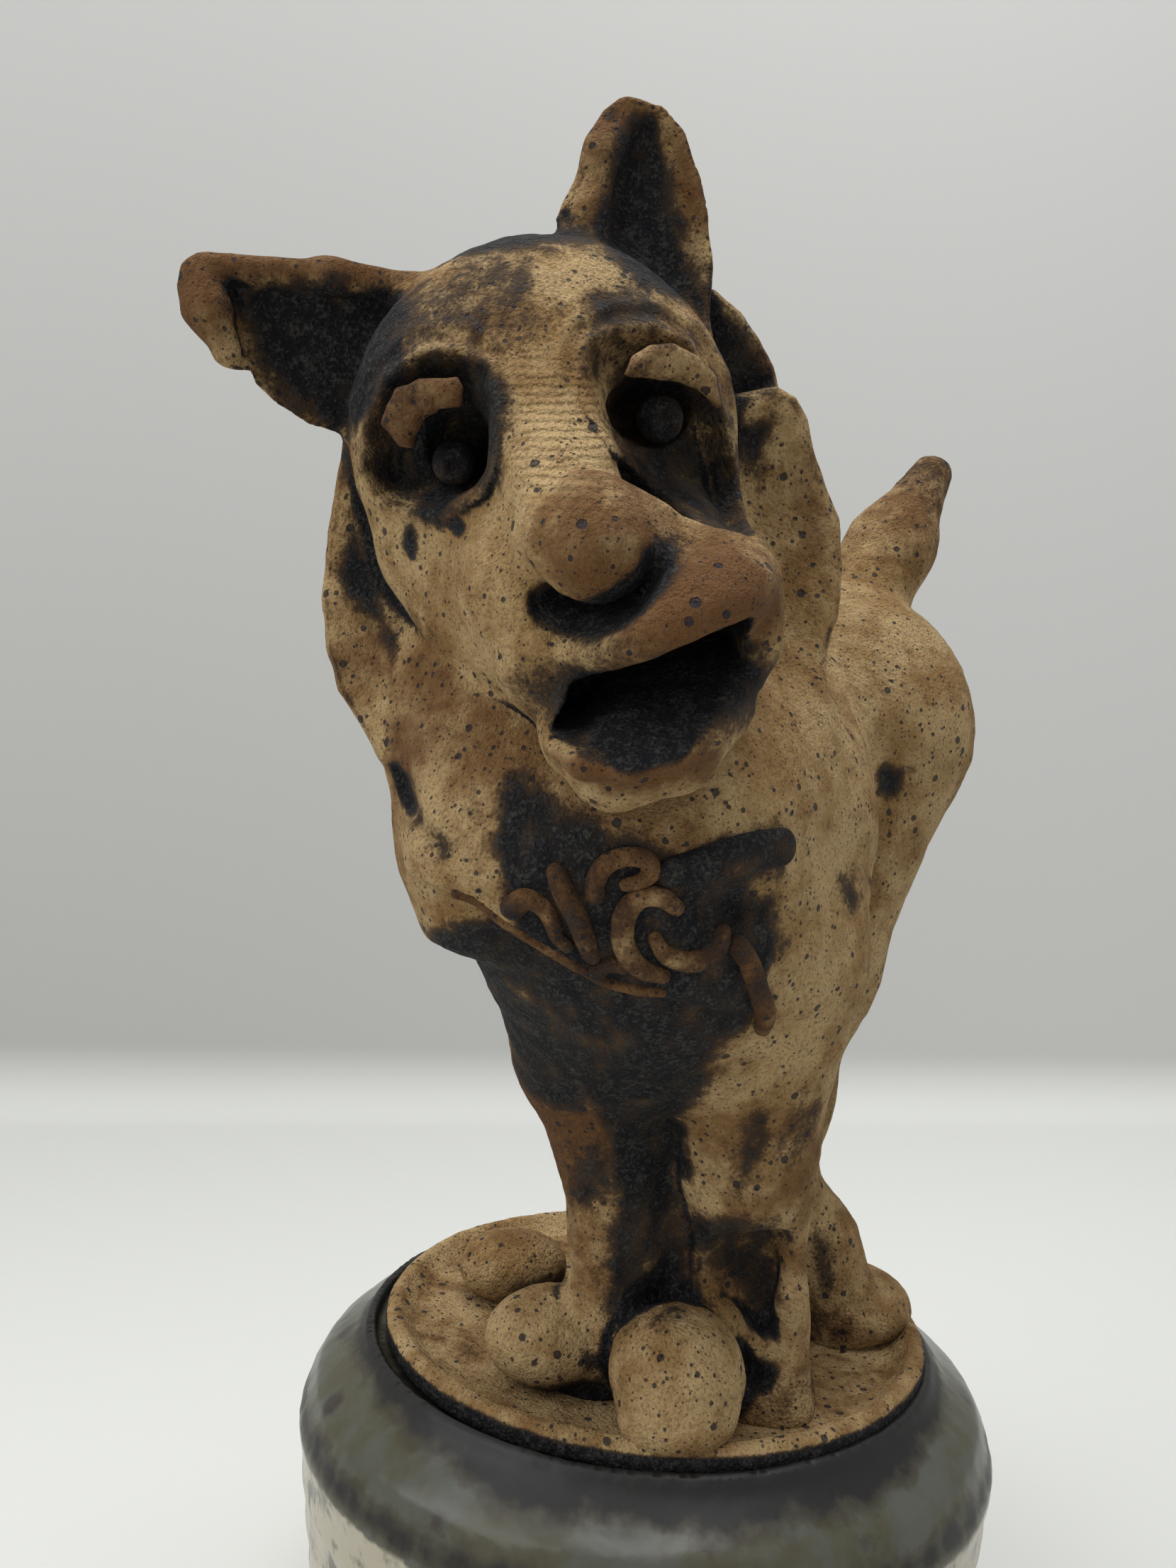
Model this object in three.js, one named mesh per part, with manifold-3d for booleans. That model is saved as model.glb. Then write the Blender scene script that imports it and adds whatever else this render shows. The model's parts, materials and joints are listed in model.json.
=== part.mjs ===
// A pottery dog standing on a round thrown base.
// Millimetres, +Z up. The origin is the centre of the flat underside of the base.
// The dog looks along -Y and its own left side is on +X. It turns its head to its left.

import * as THREE from 'three';
import { mergeVertices } from 'three/addons/utils/BufferGeometryUtils.js';
import Module from 'manifold-3d';

const wasm = await Module();
wasm.setup();

// Clearance between pieces that touch
const GAP = 0.3;

// Thrown base
const BASE_HEIGHT = 43;
const FOOT_RADIUS = 36.5;
const FOOT_CHAMFER = 1.5;
const SHOULDER_RADIUS = 40;
const SHOULDER_HEIGHT = 37;
const LIP_RADIUS = 33.2;
const MOUTH_RADIUS = 27;
const BASE_WALL = 5;
const BASE_FLOOR = 6;
const VENT_RADIUS = 2.2;
const VENT_OFFSET = 14;

// Standing disc, seated in the mouth of the base
const RIM_RADIUS = 32;
const RIM_WIDTH = 2.2;
const DISC_HEIGHT = 3;
const DISH_DEPTH = 2.2;
const SPIGOT_DEPTH = 4;

// Body: a hollow upright column for chest and neck, and a hollow barrel behind it
const MIDLINE = 10;
const LEG_LENGTH = 40;
const CHEST_BACKSET = -24;
const CHEST_RADIUS = 21;
const NECK_RADIUS = 20;
const NECK_LENGTH = 45;
const BODY_LENGTH = 37;
const LOIN_RADIUS = 17.5;
const RUMP_RADIUS = 16.5;
const RUMP_RISE = 35;
const BODY_WALL = 5;

// Legs, haunches and tail
const STANCE = 15;
const HAUNCH_RADIUS = 14;
const THIGH_RADIUS = 9;
const FORELEG_RADIUS = 11;
const KNEE_RADIUS = 7.2;
const SHANK_RADIUS = 5.7;
const ANKLE_RADIUS = 6.6;
const TAIL_LENGTH = 24;
const TAIL_RADIUS = 7;
const TAIL_TIP_RADIUS = 1.6;

// Paws
const PAW_LENGTH = 7.2;
const PAW_WIDTH = 6.7;
const PAW_HEIGHT = 5.8;
const LONG_PAW_LENGTH = 9.6;

// Head: skull, snout and jaw, in a frame with x to its left, y up and z out of the face
const HEAD_RISE = 10.8;
const HEAD_FORWARD = 16;
const HEAD_ASIDE = -2;
const HEAD_TURN = 37;
const HEAD_NOD = 16;
const HEAD_TILT = 4;
const SKULL_WIDTH = 17.5;
const SKULL_HEIGHT = 17.5;
const SKULL_DEPTH = 18;
const SNOUT_LENGTH = 18;
const BROW_RADIUS = 12.5;
const SNOUT_RADIUS = 10.8;
const CHIN_DROP = 6.5;
const HEAD_WALL = 4;
const MOUTH_WIDTH = 10.5;
const MOUTH_OPENING = 2.1;
const MOUTH_SLANT = 17;
const NOSE_RADIUS = 4.3;
const SOCKET_RADIUS = 4.8;
const EYE_RADIUS = 2.5;
const LID_WIDTH = 1.5;
const LID_THICKNESS = 1.2;

// Ears, crest and ruff
const UPRIGHT_EAR_LENGTH = 18;
const FLOPPED_EAR_LENGTH = 22;
const EAR_WIDTH = 7.6;
const EAR_THICKNESS = 3;
const EAR_TIP_WIDTH = 2.2;
const EAR_DISH = 2.4;
const FLAP_WIDTH = 6;
const FLAP_THICKNESS = 2.8;

// Rolled clay on the chest
const CURL_RADIUS = 1;
const STRAP_WIDTH = 1.8;

// Smoothness of the lofted pieces
const SIDES = 12;
const RINGS_PER_SPAN = 3;
const ROLL_STEP = 1.2;
const ROLL_CORNERS = 4;
const DOME_RINGS = 2;
const BALL_SIDES = 14;
const BALL_RINGS = 8;
const LATHE_SIDES = 40;

// Finishes
const BARE_CLAY = { color: 0x94784f, roughness: 0.85, metalness: 0 };
const TOASTED_CLAY = { color: 0x6f573a, roughness: 0.85, metalness: 0 };
const STAINED_CLAY = { color: 0x3a352f, roughness: 0.8, metalness: 0 };
const ASH_GLAZE = { color: 0x75766a, roughness: 0.25, metalness: 0 };

const RIM_Z = BASE_HEIGHT + GAP + DISC_HEIGHT;
const STAND_Z = RIM_Z - DISH_DEPTH;
const ACROSS = new THREE.Vector3(1, 0, 0);
const radians = THREE.MathUtils.degToRad;

/** A point above the disc, with height counted from the floor of its dish. */
function at(x, y, height) {
  return new THREE.Vector3(x, y, STAND_Z + height);
}

/** A point in the frame of the head. */
function inHead(x, y, z) {
  return new THREE.Vector3(x, y, z);
}

/** Elliptical ring of points about a centre, square to a direction. */
function ring(centre, along, across, width, depth) {
  const side = across.clone().addScaledVector(along, -across.dot(along)).normalize();
  const front = new THREE.Vector3().crossVectors(along, side);
  return Array.from({ length: SIDES }, (_, k) => {
    const turn = (2 * Math.PI * k) / SIDES;
    return centre
      .clone()
      .addScaledVector(side, width * Math.cos(turn))
      .addScaledVector(front, depth * Math.sin(turn));
  });
}

/** Triangles over stacked rings, closed by a point at each end. */
function skin(start, rings, end) {
  const points = [start, ...rings.flat(), end];
  const last = points.length - 1;
  const index = [];
  const slot = (level, k) => 1 + level * SIDES + (k % SIDES);
  for (let k = 0; k < SIDES; k += 1) {
    index.push(0, slot(0, k + 1), slot(0, k));
    index.push(last, slot(rings.length - 1, k), slot(rings.length - 1, k + 1));
    for (let level = 0; level < rings.length - 1; level += 1) {
      index.push(slot(level, k), slot(level, k + 1), slot(level + 1, k));
      index.push(slot(level, k + 1), slot(level + 1, k + 1), slot(level + 1, k));
    }
  }
  const geometry = new THREE.BufferGeometry().setFromPoints(points);
  geometry.setIndex(index);
  return geometry;
}

/** Closed loft of ellipses along a smooth spine, with domed ends; grow offsets it outwards. */
function limb({ spine, widths, depths = widths, across = ACROSS }, grow = 0) {
  const path = new THREE.CatmullRomCurve3(spine);
  const girth = new THREE.CatmullRomCurve3(widths.map((w, i) => new THREE.Vector3(w, depths[i], 0)));
  const spans = (spine.length - 1) * RINGS_PER_SPAN;
  const rings = [];
  const dome = (t, outward) => {
    const size = girth.getPoint(t).addScalar(grow);
    const along = path.getTangent(t);
    const reach = Math.min(size.x, size.y) * outward;
    const centre = path.getPoint(t);
    const level = (lift) => {
      const share = Math.sqrt(1 - lift * lift);
      const middle = centre.clone().addScaledVector(along, reach * lift);
      return ring(middle, along, across, size.x * share, size.y * share);
    };
    const quarter = Math.PI / 2 / (DOME_RINGS + 1);
    const lifts = Array.from({ length: DOME_RINGS }, (_, k) => Math.sin((k + 1) * quarter));
    return { levels: lifts.map(level), pole: centre.addScaledVector(along, reach) };
  };
  const tail = dome(0, -1);
  const nose = dome(1, 1);
  for (let i = 0; i <= spans; i += 1) {
    const t = i / spans;
    const size = girth.getPoint(t).addScalar(grow);
    rings.push(ring(path.getPoint(t), path.getTangent(t), across, size.x, size.y));
  }
  return skin(tail.pole, [...tail.levels.reverse(), ...rings, ...nose.levels], nose.pole);
}

/** Ellipsoid, turned about its own z axis; grow offsets it outwards. */
function ball({ centre, radii, slant = 0 }, grow = 0) {
  return new THREE.SphereGeometry(1, BALL_SIDES, BALL_RINGS)
    .scale(radii[0] + grow, radii[1] + grow, radii[2] + grow)
    .rotateZ(radians(slant))
    .translate(centre.x, centre.y, centre.z);
}

/** Solid of revolution about Z from pairs of radius and height. */
function turned(profile) {
  const points = profile.map(([radius, height]) => new THREE.Vector2(radius, height));
  return new THREE.LatheGeometry(points, LATHE_SIDES).rotateX(Math.PI / 2);
}

/** Round roll of clay along a smooth path. */
function roll(path, radius) {
  const section = new THREE.Shape().absarc(0, 0, radius, 0, 2 * Math.PI);
  return new THREE.ExtrudeGeometry(section, {
    steps: Math.ceil(path.getLength() / ROLL_STEP),
    curveSegments: ROLL_CORNERS,
    bevelEnabled: false,
    extrudePath: path,
  });
}

/** Solid of a closed geometry, for joining and cutting. */
function solid(geometry) {
  const bare = geometry.clone();
  bare.deleteAttribute('normal');
  bare.deleteAttribute('uv');
  const merged = mergeVertices(bare, 1e-4);
  const vertProperties = Float32Array.from(merged.attributes.position.array);
  const triVerts = Uint32Array.from(merged.index.array);
  return new wasm.Manifold(new wasm.Mesh({ numProp: 3, vertProperties, triVerts }));
}

function join(...solids) {
  return solids.reduce((whole, part) => whole.add(part));
}

function cut(blank, ...tools) {
  return tools.reduce((left, tool) => left.subtract(tool), blank);
}

/** Puts a finished solid into a group as a named piece. */
function place(group, name, piece, finish) {
  const { vertProperties, triVerts } = piece.getMesh();
  const geometry = new THREE.BufferGeometry();
  geometry.setAttribute('position', new THREE.BufferAttribute(vertProperties, 3));
  geometry.setIndex(new THREE.BufferAttribute(triVerts, 1));
  geometry.computeVertexNormals();
  const mesh = new THREE.Mesh(geometry, new THREE.MeshStandardMaterial(finish));
  mesh.name = name;
  group.add(mesh);
}

const dog = new THREE.Group();

// Thrown base: flat floor with a vent, wall leaning out to the shoulder, lip round the mouth
function thrownBase() {
  const inner = SHOULDER_RADIUS - BASE_WALL;
  const pot = turned([
    [0, 0],
    [FOOT_RADIUS - FOOT_CHAMFER, 0],
    [FOOT_RADIUS, FOOT_CHAMFER],
    [SHOULDER_RADIUS - FOOT_CHAMFER / 2, SHOULDER_HEIGHT - FOOT_CHAMFER],
    [SHOULDER_RADIUS, SHOULDER_HEIGHT],
    [LIP_RADIUS, BASE_HEIGHT],
    [MOUTH_RADIUS, BASE_HEIGHT],
    [MOUTH_RADIUS, BASE_HEIGHT - BASE_WALL],
    [inner, SHOULDER_HEIGHT - BASE_WALL],
    [FOOT_RADIUS - BASE_WALL, BASE_FLOOR],
    [0, BASE_FLOOR],
  ]);
  const vent = new THREE.CylinderGeometry(VENT_RADIUS, VENT_RADIUS, 4 * BASE_FLOOR, BALL_SIDES)
    .rotateX(Math.PI / 2)
    .translate(VENT_OFFSET, 0, 0);
  return cut(solid(pot), solid(vent));
}

// Standing disc: dished top with a raised rim, over a spigot that drops into the mouth of the base
function dishedTop(grow = 0) {
  return [
    [RIM_RADIUS + grow, RIM_Z + grow],
    [RIM_RADIUS - RIM_WIDTH - grow, RIM_Z + grow],
    [RIM_RADIUS - RIM_WIDTH - DISH_DEPTH / 2 - grow, STAND_Z + grow],
    [0, STAND_Z + grow],
  ];
}
const standingDisc = turned([
  [0, BASE_HEIGHT - SPIGOT_DEPTH],
  [MOUTH_RADIUS - GAP, BASE_HEIGHT - SPIGOT_DEPTH],
  [MOUTH_RADIUS - GAP, BASE_HEIGHT + GAP],
  [RIM_RADIUS, BASE_HEIGHT + GAP],
  ...dishedTop(),
]);
const ground = solid(turned([[0, 0], [RIM_RADIUS + GAP, 0], ...dishedTop(GAP)]));

place(dog, 'thrown_base', thrownBase(), ASH_GLAZE);
place(dog, 'standing_disc', solid(standingDisc), TOASTED_CLAY);

// Body blanks
const shoulderHeight = LEG_LENGTH + (2 / 3) * NECK_LENGTH;
const neckTop = LEG_LENGTH + NECK_LENGTH;
const rumpBackset = CHEST_BACKSET + BODY_LENGTH;
const rumpHeight = LEG_LENGTH + RUMP_RISE;

const CHEST = {
  spine: [
    at(MIDLINE + 1, CHEST_BACKSET + 2, LEG_LENGTH),
    at(MIDLINE, CHEST_BACKSET, LEG_LENGTH + NECK_LENGTH / 4),
    at(MIDLINE - 2, CHEST_BACKSET - 4, shoulderHeight),
    at(MIDLINE - 5, CHEST_BACKSET - 6, neckTop),
  ],
  widths: [CHEST_RADIUS / 2, CHEST_RADIUS * 0.82, CHEST_RADIUS, NECK_RADIUS],
};
const TORSO = {
  spine: [
    at(MIDLINE + 3, CHEST_BACKSET + 10, shoulderHeight - 6),
    at(MIDLINE + 3, CHEST_BACKSET + 24, (shoulderHeight + rumpHeight) / 2),
    at(MIDLINE + 3.5, rumpBackset, rumpHeight),
  ],
  widths: [CHEST_RADIUS - 1.5, LOIN_RADIUS, RUMP_RADIUS],
};

// Where the chest's skin lies, for a turn to the dog's left in degrees and a rise above the chest's foot
const chestPath = new THREE.CatmullRomCurve3(CHEST.spine);
const chestGirth = new THREE.CatmullRomCurve3(CHEST.widths.map((w) => new THREE.Vector3(w, w, 0)));
function onChest(turn, rise) {
  let low = 0;
  let high = 1;
  for (let step = 0; step < 30; step += 1) {
    const middle = (low + high) / 2;
    if (chestPath.getPoint(middle).z < STAND_Z + LEG_LENGTH + rise) low = middle;
    else high = middle;
  }
  const along = chestPath.getTangent(low);
  const heading = new THREE.Vector3(Math.sin(radians(turn)), -Math.cos(radians(turn)), 0);
  heading.addScaledVector(along, -heading.dot(along)).normalize();
  return chestPath.getPoint(low).addScaledVector(heading, chestGirth.getPoint(low).x);
}

// Head frame and blanks
const HEAD_FRAME = new THREE.Matrix4()
  .makeTranslation(at(MIDLINE + HEAD_ASIDE, CHEST_BACKSET - HEAD_FORWARD, neckTop + HEAD_RISE))
  .multiply(new THREE.Matrix4().makeRotationZ(radians(HEAD_TURN)))
  .multiply(new THREE.Matrix4().makeRotationX(radians(90 + HEAD_NOD)))
  .multiply(new THREE.Matrix4().makeRotationZ(radians(HEAD_TILT)));
const INTO_HEAD = HEAD_FRAME.clone().invert();

const SKULL = { centre: inHead(-1, 1, -SKULL_DEPTH / 2), radii: [SKULL_WIDTH, SKULL_HEIGHT, SKULL_DEPTH] };
const snoutTip = inHead(7.5, -13.5, SNOUT_LENGTH - 1.5);
const SNOUT = {
  spine: [inHead(0.5, -2, 3.5), inHead(4, -7.5, SNOUT_LENGTH / 2), snoutTip],
  widths: [BROW_RADIUS, (BROW_RADIUS + SNOUT_RADIUS) / 2, SNOUT_RADIUS],
};
const CHIN = {
  centre: inHead(snoutTip.x - 1.5, snoutTip.y - CHIN_DROP, snoutTip.z + 1.5),
  radii: [SNOUT_RADIUS - 1, CHIN_DROP + 1, SNOUT_RADIUS - 1.5],
};
const MOUTH = {
  centre: inHead(snoutTip.x + 1.5, snoutTip.y - 5, snoutTip.z + 7),
  radii: [MOUTH_WIDTH, MOUTH_OPENING, SNOUT_LENGTH],
  slant: MOUTH_SLANT,
};
const NOSTRILS = {
  centre: inHead(snoutTip.x - 4, snoutTip.y + 1.2, snoutTip.z + SNOUT_RADIUS),
  radii: [SNOUT_RADIUS * 0.6, 1.5, 4],
  slant: MOUTH_SLANT / 2,
};
const SOCKETS = {
  right: { centre: inHead(-8.6, 0.2, 11.5), radii: [SOCKET_RADIUS, SOCKET_RADIUS, SOCKET_RADIUS + 0.4] },
  left: { centre: inHead(9, 2, 11), radii: [SOCKET_RADIUS, SOCKET_RADIUS, SOCKET_RADIUS + 0.4] },
};

// The mouth's floor: everything under the line of the lips, in front of the throat
function underLips(grow = 0) {
  const reach = 3 * SNOUT_RADIUS;
  return solid(
    new THREE.BoxGeometry(2 * reach, reach, 2 * reach)
      .translate(0, grow - reach / 2, reach)
      .rotateZ(radians(MOUTH_SLANT))
      .translate(MOUTH.centre.x, MOUTH.centre.y, 0),
  );
}

function faceBlank(grow = 0) {
  return join(solid(ball(SKULL, grow)), solid(limb(SNOUT, grow)));
}

function eyeSockets(grow = 0) {
  return join(solid(ball(SOCKETS.left, grow)), solid(ball(SOCKETS.right, grow)));
}

const bodyInHead = (grow) => solid(limb(CHEST, grow).applyMatrix4(INTO_HEAD));
const torsoInHead = (grow) => solid(limb(TORSO, grow).applyMatrix4(INTO_HEAD));

// One connected hollow through torso, chest, skull and snout, open at the mouth
const THROAT = {
  spine: [SKULL.centre, inHead(4, -9, 2), MOUTH.centre],
  widths: [SNOUT_RADIUS - HEAD_WALL, SNOUT_RADIUS - HEAD_WALL, SNOUT_RADIUS - HEAD_WALL - 2],
};
const GULLET = {
  spine: [CHEST.spine[2], CHEST.spine[3], SKULL.centre.clone().applyMatrix4(HEAD_FRAME)],
  widths: [NECK_RADIUS - 2 * BODY_WALL, NECK_RADIUS - 2 * BODY_WALL, NECK_RADIUS - 2 * BODY_WALL],
};
const BARREL_WAY = {
  spine: [CHEST.spine[2], TORSO.spine[1]],
  widths: [LOIN_RADIUS - BODY_WALL, LOIN_RADIUS - BODY_WALL],
};
const bodyHollow = join(
  solid(limb(CHEST, -BODY_WALL)),
  solid(limb(TORSO, -BODY_WALL)),
  solid(limb(GULLET)),
  solid(limb(BARREL_WAY)),
);
const headHollow = join(
  solid(ball(SKULL, -HEAD_WALL)),
  solid(limb(THROAT)),
  solid(limb(GULLET).applyMatrix4(INTO_HEAD)),
);

place(dog, 'neck_and_chest', cut(solid(limb(CHEST)), bodyHollow), BARE_CLAY);
place(dog, 'torso', cut(solid(limb(TORSO)), solid(limb(CHEST, GAP)), bodyHollow), BARE_CLAY);

// Legs: left and right are the dog's own
const stanceLeft = MIDLINE - 3 + STANCE / 2;
const stanceRight = MIDLINE - 3 - STANCE / 2;
const HAUNCHES = {
  left: {
    spine: [
      at(MIDLINE + 6, rumpBackset, rumpHeight - 3),
      at(MIDLINE + 4.5, rumpBackset - 5, LEG_LENGTH + 6),
    ],
    widths: [HAUNCH_RADIUS, THIGH_RADIUS],
  },
  right: {
    spine: [
      at(MIDLINE - 3, rumpBackset, rumpHeight - 5),
      at(MIDLINE - 6, rumpBackset - 4, LEG_LENGTH + 4),
    ],
    widths: [HAUNCH_RADIUS - 1, THIGH_RADIUS],
  },
};
const LEGS = {
  front_leg_left: {
    spine: [
      at(MIDLINE + 9, CHEST_BACKSET + 9, LEG_LENGTH + 8),
      at(stanceLeft + 2, CHEST_BACKSET + 13, (LEG_LENGTH * 2) / 3),
      at(stanceLeft + 2.5, CHEST_BACKSET + 15, LEG_LENGTH / 4),
      at(stanceLeft + 3.5, CHEST_BACKSET + 16, 0),
    ],
    widths: [FORELEG_RADIUS, KNEE_RADIUS, SHANK_RADIUS, ANKLE_RADIUS],
  },
  front_leg_right: {
    spine: [
      at(MIDLINE - 6, CHEST_BACKSET, LEG_LENGTH + 4),
      at(stanceRight + 5, CHEST_BACKSET + 4, (LEG_LENGTH * 2) / 3),
      at(stanceRight + 4, CHEST_BACKSET + 8, LEG_LENGTH / 4),
      at(stanceRight + 2, CHEST_BACKSET + 9, 0),
    ],
    widths: [FORELEG_RADIUS, KNEE_RADIUS, SHANK_RADIUS, ANKLE_RADIUS],
  },
  hind_leg_left: {
    spine: [
      at(MIDLINE + 4.5, rumpBackset - 5, LEG_LENGTH + 4),
      at(stanceLeft - 1.5, rumpBackset - 6, LEG_LENGTH / 2),
      at(stanceLeft + 2, rumpBackset + 3, 0),
    ],
    widths: [THIGH_RADIUS - 1, SHANK_RADIUS, ANKLE_RADIUS],
  },
  hind_leg_right: {
    spine: [
      at(MIDLINE - 6, rumpBackset - 4, LEG_LENGTH + 2),
      at(stanceRight - 1.5, rumpBackset - 4, LEG_LENGTH / 2),
      at(stanceRight - 8, rumpBackset - 6.5, 0),
    ],
    widths: [THIGH_RADIUS - 1, SHANK_RADIUS, SHANK_RADIUS],
  },
};
const PAWS = {
  front_paw_left: {
    centre: at(stanceLeft - 2.5, -18, PAW_HEIGHT),
    radii: [PAW_WIDTH + 0.6, LONG_PAW_LENGTH, PAW_HEIGHT + 0.6],
    slant: 24,
  },
  front_paw_right: {
    centre: at(stanceRight - 5, -17.5, PAW_HEIGHT - 0.4),
    radii: [PAW_WIDTH, PAW_LENGTH, PAW_HEIGHT],
  },
  hind_paw_left: {
    centre: at(stanceLeft + 4.5, rumpBackset + 4, PAW_HEIGHT - 2.4),
    radii: [PAW_WIDTH, PAW_LENGTH, PAW_HEIGHT - 1.6],
  },
  hind_paw_right: {
    centre: at(stanceRight - 16, rumpBackset - 16.5, PAW_HEIGHT - 2),
    radii: [PAW_WIDTH - 1, LONG_PAW_LENGTH, PAW_HEIGHT - 1],
    slant: -45,
  },
};

const chestCarrier = solid(limb(CHEST, GAP));
const torsoCarrier = solid(limb(TORSO, GAP));
const haunchCarriers = join(solid(limb(HAUNCHES.left, GAP)), solid(limb(HAUNCHES.right, GAP)));

place(dog, 'haunch_left', cut(solid(limb(HAUNCHES.left)), torsoCarrier, chestCarrier), BARE_CLAY);
place(
  dog,
  'haunch_right',
  cut(solid(limb(HAUNCHES.right)), torsoCarrier, chestCarrier, solid(limb(HAUNCHES.left, GAP))),
  BARE_CLAY,
);

let legCarriers = join(chestCarrier, torsoCarrier, haunchCarriers, ground);
for (const [name, leg] of Object.entries(LEGS)) {
  place(dog, name, cut(solid(limb(leg)), legCarriers), BARE_CLAY);
  legCarriers = join(legCarriers, solid(limb(leg, GAP)));
}
let pawCarriers = legCarriers;
for (const [name, paw] of Object.entries(PAWS)) {
  place(dog, name, cut(solid(ball(paw)), pawCarriers), BARE_CLAY);
  pawCarriers = join(pawCarriers, solid(ball(paw, GAP)));
}

// Tail: a cone that leans back and to the left
const tailRoot = at(MIDLINE + 3.5, rumpBackset + 4, rumpHeight + RUMP_RADIUS - 4);
const tailLean = new THREE.Vector3(0.25, 0.44, 0.86);
const TAIL = {
  spine: [
    tailRoot,
    tailRoot.clone().addScaledVector(tailLean, TAIL_LENGTH / 2),
    tailRoot.clone().addScaledVector(tailLean, TAIL_LENGTH - TAIL_TIP_RADIUS),
  ],
  widths: [TAIL_RADIUS, (TAIL_RADIUS + TAIL_TIP_RADIUS) / 2, TAIL_TIP_RADIUS],
};
place(dog, 'tail', cut(solid(limb(TAIL)), torsoCarrier, haunchCarriers), BARE_CLAY);

// Head pieces, in the frame of the head
const head = new THREE.Group();
head.applyMatrix4(HEAD_FRAME);
dog.add(head);

const neckCarrier = join(bodyInHead(GAP), torsoInHead(GAP));
const faceCarrier = cut(faceBlank(GAP), eyeSockets(-GAP));
const mouth = solid(ball(MOUTH));

const cranium = cut(solid(ball(SKULL)), neckCarrier, headHollow, eyeSockets(), underLips(GAP));
place(head, 'cranium', cranium, TOASTED_CLAY);
place(
  head,
  'muzzle',
  cut(
    solid(limb(SNOUT)),
    solid(ball(SKULL, GAP)),
    neckCarrier,
    headHollow,
    mouth,
    underLips(GAP),
    eyeSockets(),
    solid(ball(NOSTRILS)),
  ),
  BARE_CLAY,
);
place(
  head,
  'lower_jaw',
  cut(join(solid(limb(SNOUT)), solid(ball(CHIN))).intersect(underLips()), neckCarrier, headHollow, mouth),
  TOASTED_CLAY,
);

const NOSE = {
  centre: inHead(snoutTip.x - 3.9, snoutTip.y + 6.3, snoutTip.z + 5),
  radii: [NOSE_RADIUS, NOSE_RADIUS, NOSE_RADIUS],
};
place(head, 'nose', cut(solid(ball(NOSE)), solid(limb(SNOUT, GAP)), neckCarrier), TOASTED_CLAY);

const EYES = { left: inHead(9.1, 1.2, 6.6), right: inHead(-8.1, -1.5, 7.2) };
const LIDS = {
  left: [inHead(5, 4.6, 10), inHead(9, 7, 9.2), inHead(12.5, 6, 7.8), inHead(14.2, 3, 6.4)],
  right: [inHead(-13.8, 1.2, 7.2), inHead(-11.6, 4.4, 8.6), inHead(-9, 5.4, 9.8), inHead(-6, 4.2, 11)],
};
for (const side of ['left', 'right']) {
  const pellet = { centre: EYES[side], radii: [EYE_RADIUS, EYE_RADIUS, EYE_RADIUS] };
  const band = {
    spine: LIDS[side],
    widths: [LID_WIDTH, LID_WIDTH, LID_WIDTH, LID_WIDTH],
    depths: [LID_THICKNESS, LID_THICKNESS, LID_THICKNESS, LID_THICKNESS],
    across: inHead(0, 0, 1),
  };
  place(head, `eye_${side}`, cut(solid(ball(pellet)), faceCarrier, neckCarrier), STAINED_CLAY);
  place(head, `eyelid_${side}`, cut(solid(limb(band)), faceCarrier, neckCarrier), TOASTED_CLAY);
}

// Ears: tapered flaps, dished in front
function earBlank({ base, lean, length, across }) {
  const tip = base.clone().addScaledVector(lean, length);
  const spine = [base, base.clone().lerp(tip, 0.5), tip];
  const widths = [EAR_WIDTH, EAR_WIDTH * 0.86, EAR_TIP_WIDTH];
  const depths = [EAR_THICKNESS, EAR_THICKNESS * 0.85, EAR_THICKNESS / 2];
  return { spine, widths, depths, across };
}
function dishOf(ear) {
  const forward = inHead(0, 0, EAR_DISH);
  return {
    spine: ear.spine.map((point, i) => point.clone().lerp(ear.spine[0], i / 12).add(forward)),
    widths: ear.widths.map((w) => w * 0.7),
    depths: ear.depths.map((d) => d * 0.75),
    across: ear.across,
  };
}
const EARS = {
  ear_left: earBlank({
    base: inHead(7.8, 11, -9.5),
    lean: inHead(0.02, 0.97, -0.2),
    length: UPRIGHT_EAR_LENGTH,
    across: inHead(0.93, -0.35, 0),
  }),
  ear_right: earBlank({
    base: inHead(-11.5, 6.6, -5),
    lean: inHead(-0.95, 0.31, 0.06),
    length: FLOPPED_EAR_LENGTH,
    across: inHead(0.3, 0.9, -0.3),
  }),
};
let earCarriers = join(neckCarrier, faceBlank(GAP));
for (const [name, ear] of Object.entries(EARS)) {
  place(head, name, cut(solid(limb(ear)), solid(limb(dishOf(ear))), earCarriers), STAINED_CLAY);
  earCarriers = join(earCarriers, solid(limb(ear, GAP)));
}

// Crest behind the left ear, and the ruff's two flaps behind the cheeks
const FLAPS = {
  crest: {
    spine: [inHead(4, 15, -17), inHead(12.5, 12, -15), inHead(19, 4, -13)],
    widths: [FLAP_WIDTH, FLAP_WIDTH, FLAP_WIDTH - 1.5],
    depths: [FLAP_THICKNESS, FLAP_THICKNESS, FLAP_THICKNESS],
    across: inHead(0, 0, 1),
  },
  ruff_left: {
    spine: [inHead(20, 0, -9.5), inHead(22, -10, -9), inHead(19.5, -22, -5)],
    widths: [FLAP_WIDTH - 1, FLAP_WIDTH, FLAP_WIDTH - 1],
    depths: [FLAP_THICKNESS, FLAP_THICKNESS, FLAP_THICKNESS],
    across: inHead(0.95, -0.15, -0.3),
  },
  ruff_right: {
    spine: [inHead(-15.5, -3, -7), inHead(-17, -13, -6), inHead(-13, -27, -2)],
    widths: [FLAP_WIDTH - 1, FLAP_WIDTH, FLAP_WIDTH - 1],
    depths: [FLAP_THICKNESS, FLAP_THICKNESS, FLAP_THICKNESS],
    across: inHead(0.95, -0.15, 0.3),
  },
};
let flapCarriers = earCarriers;
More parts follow.
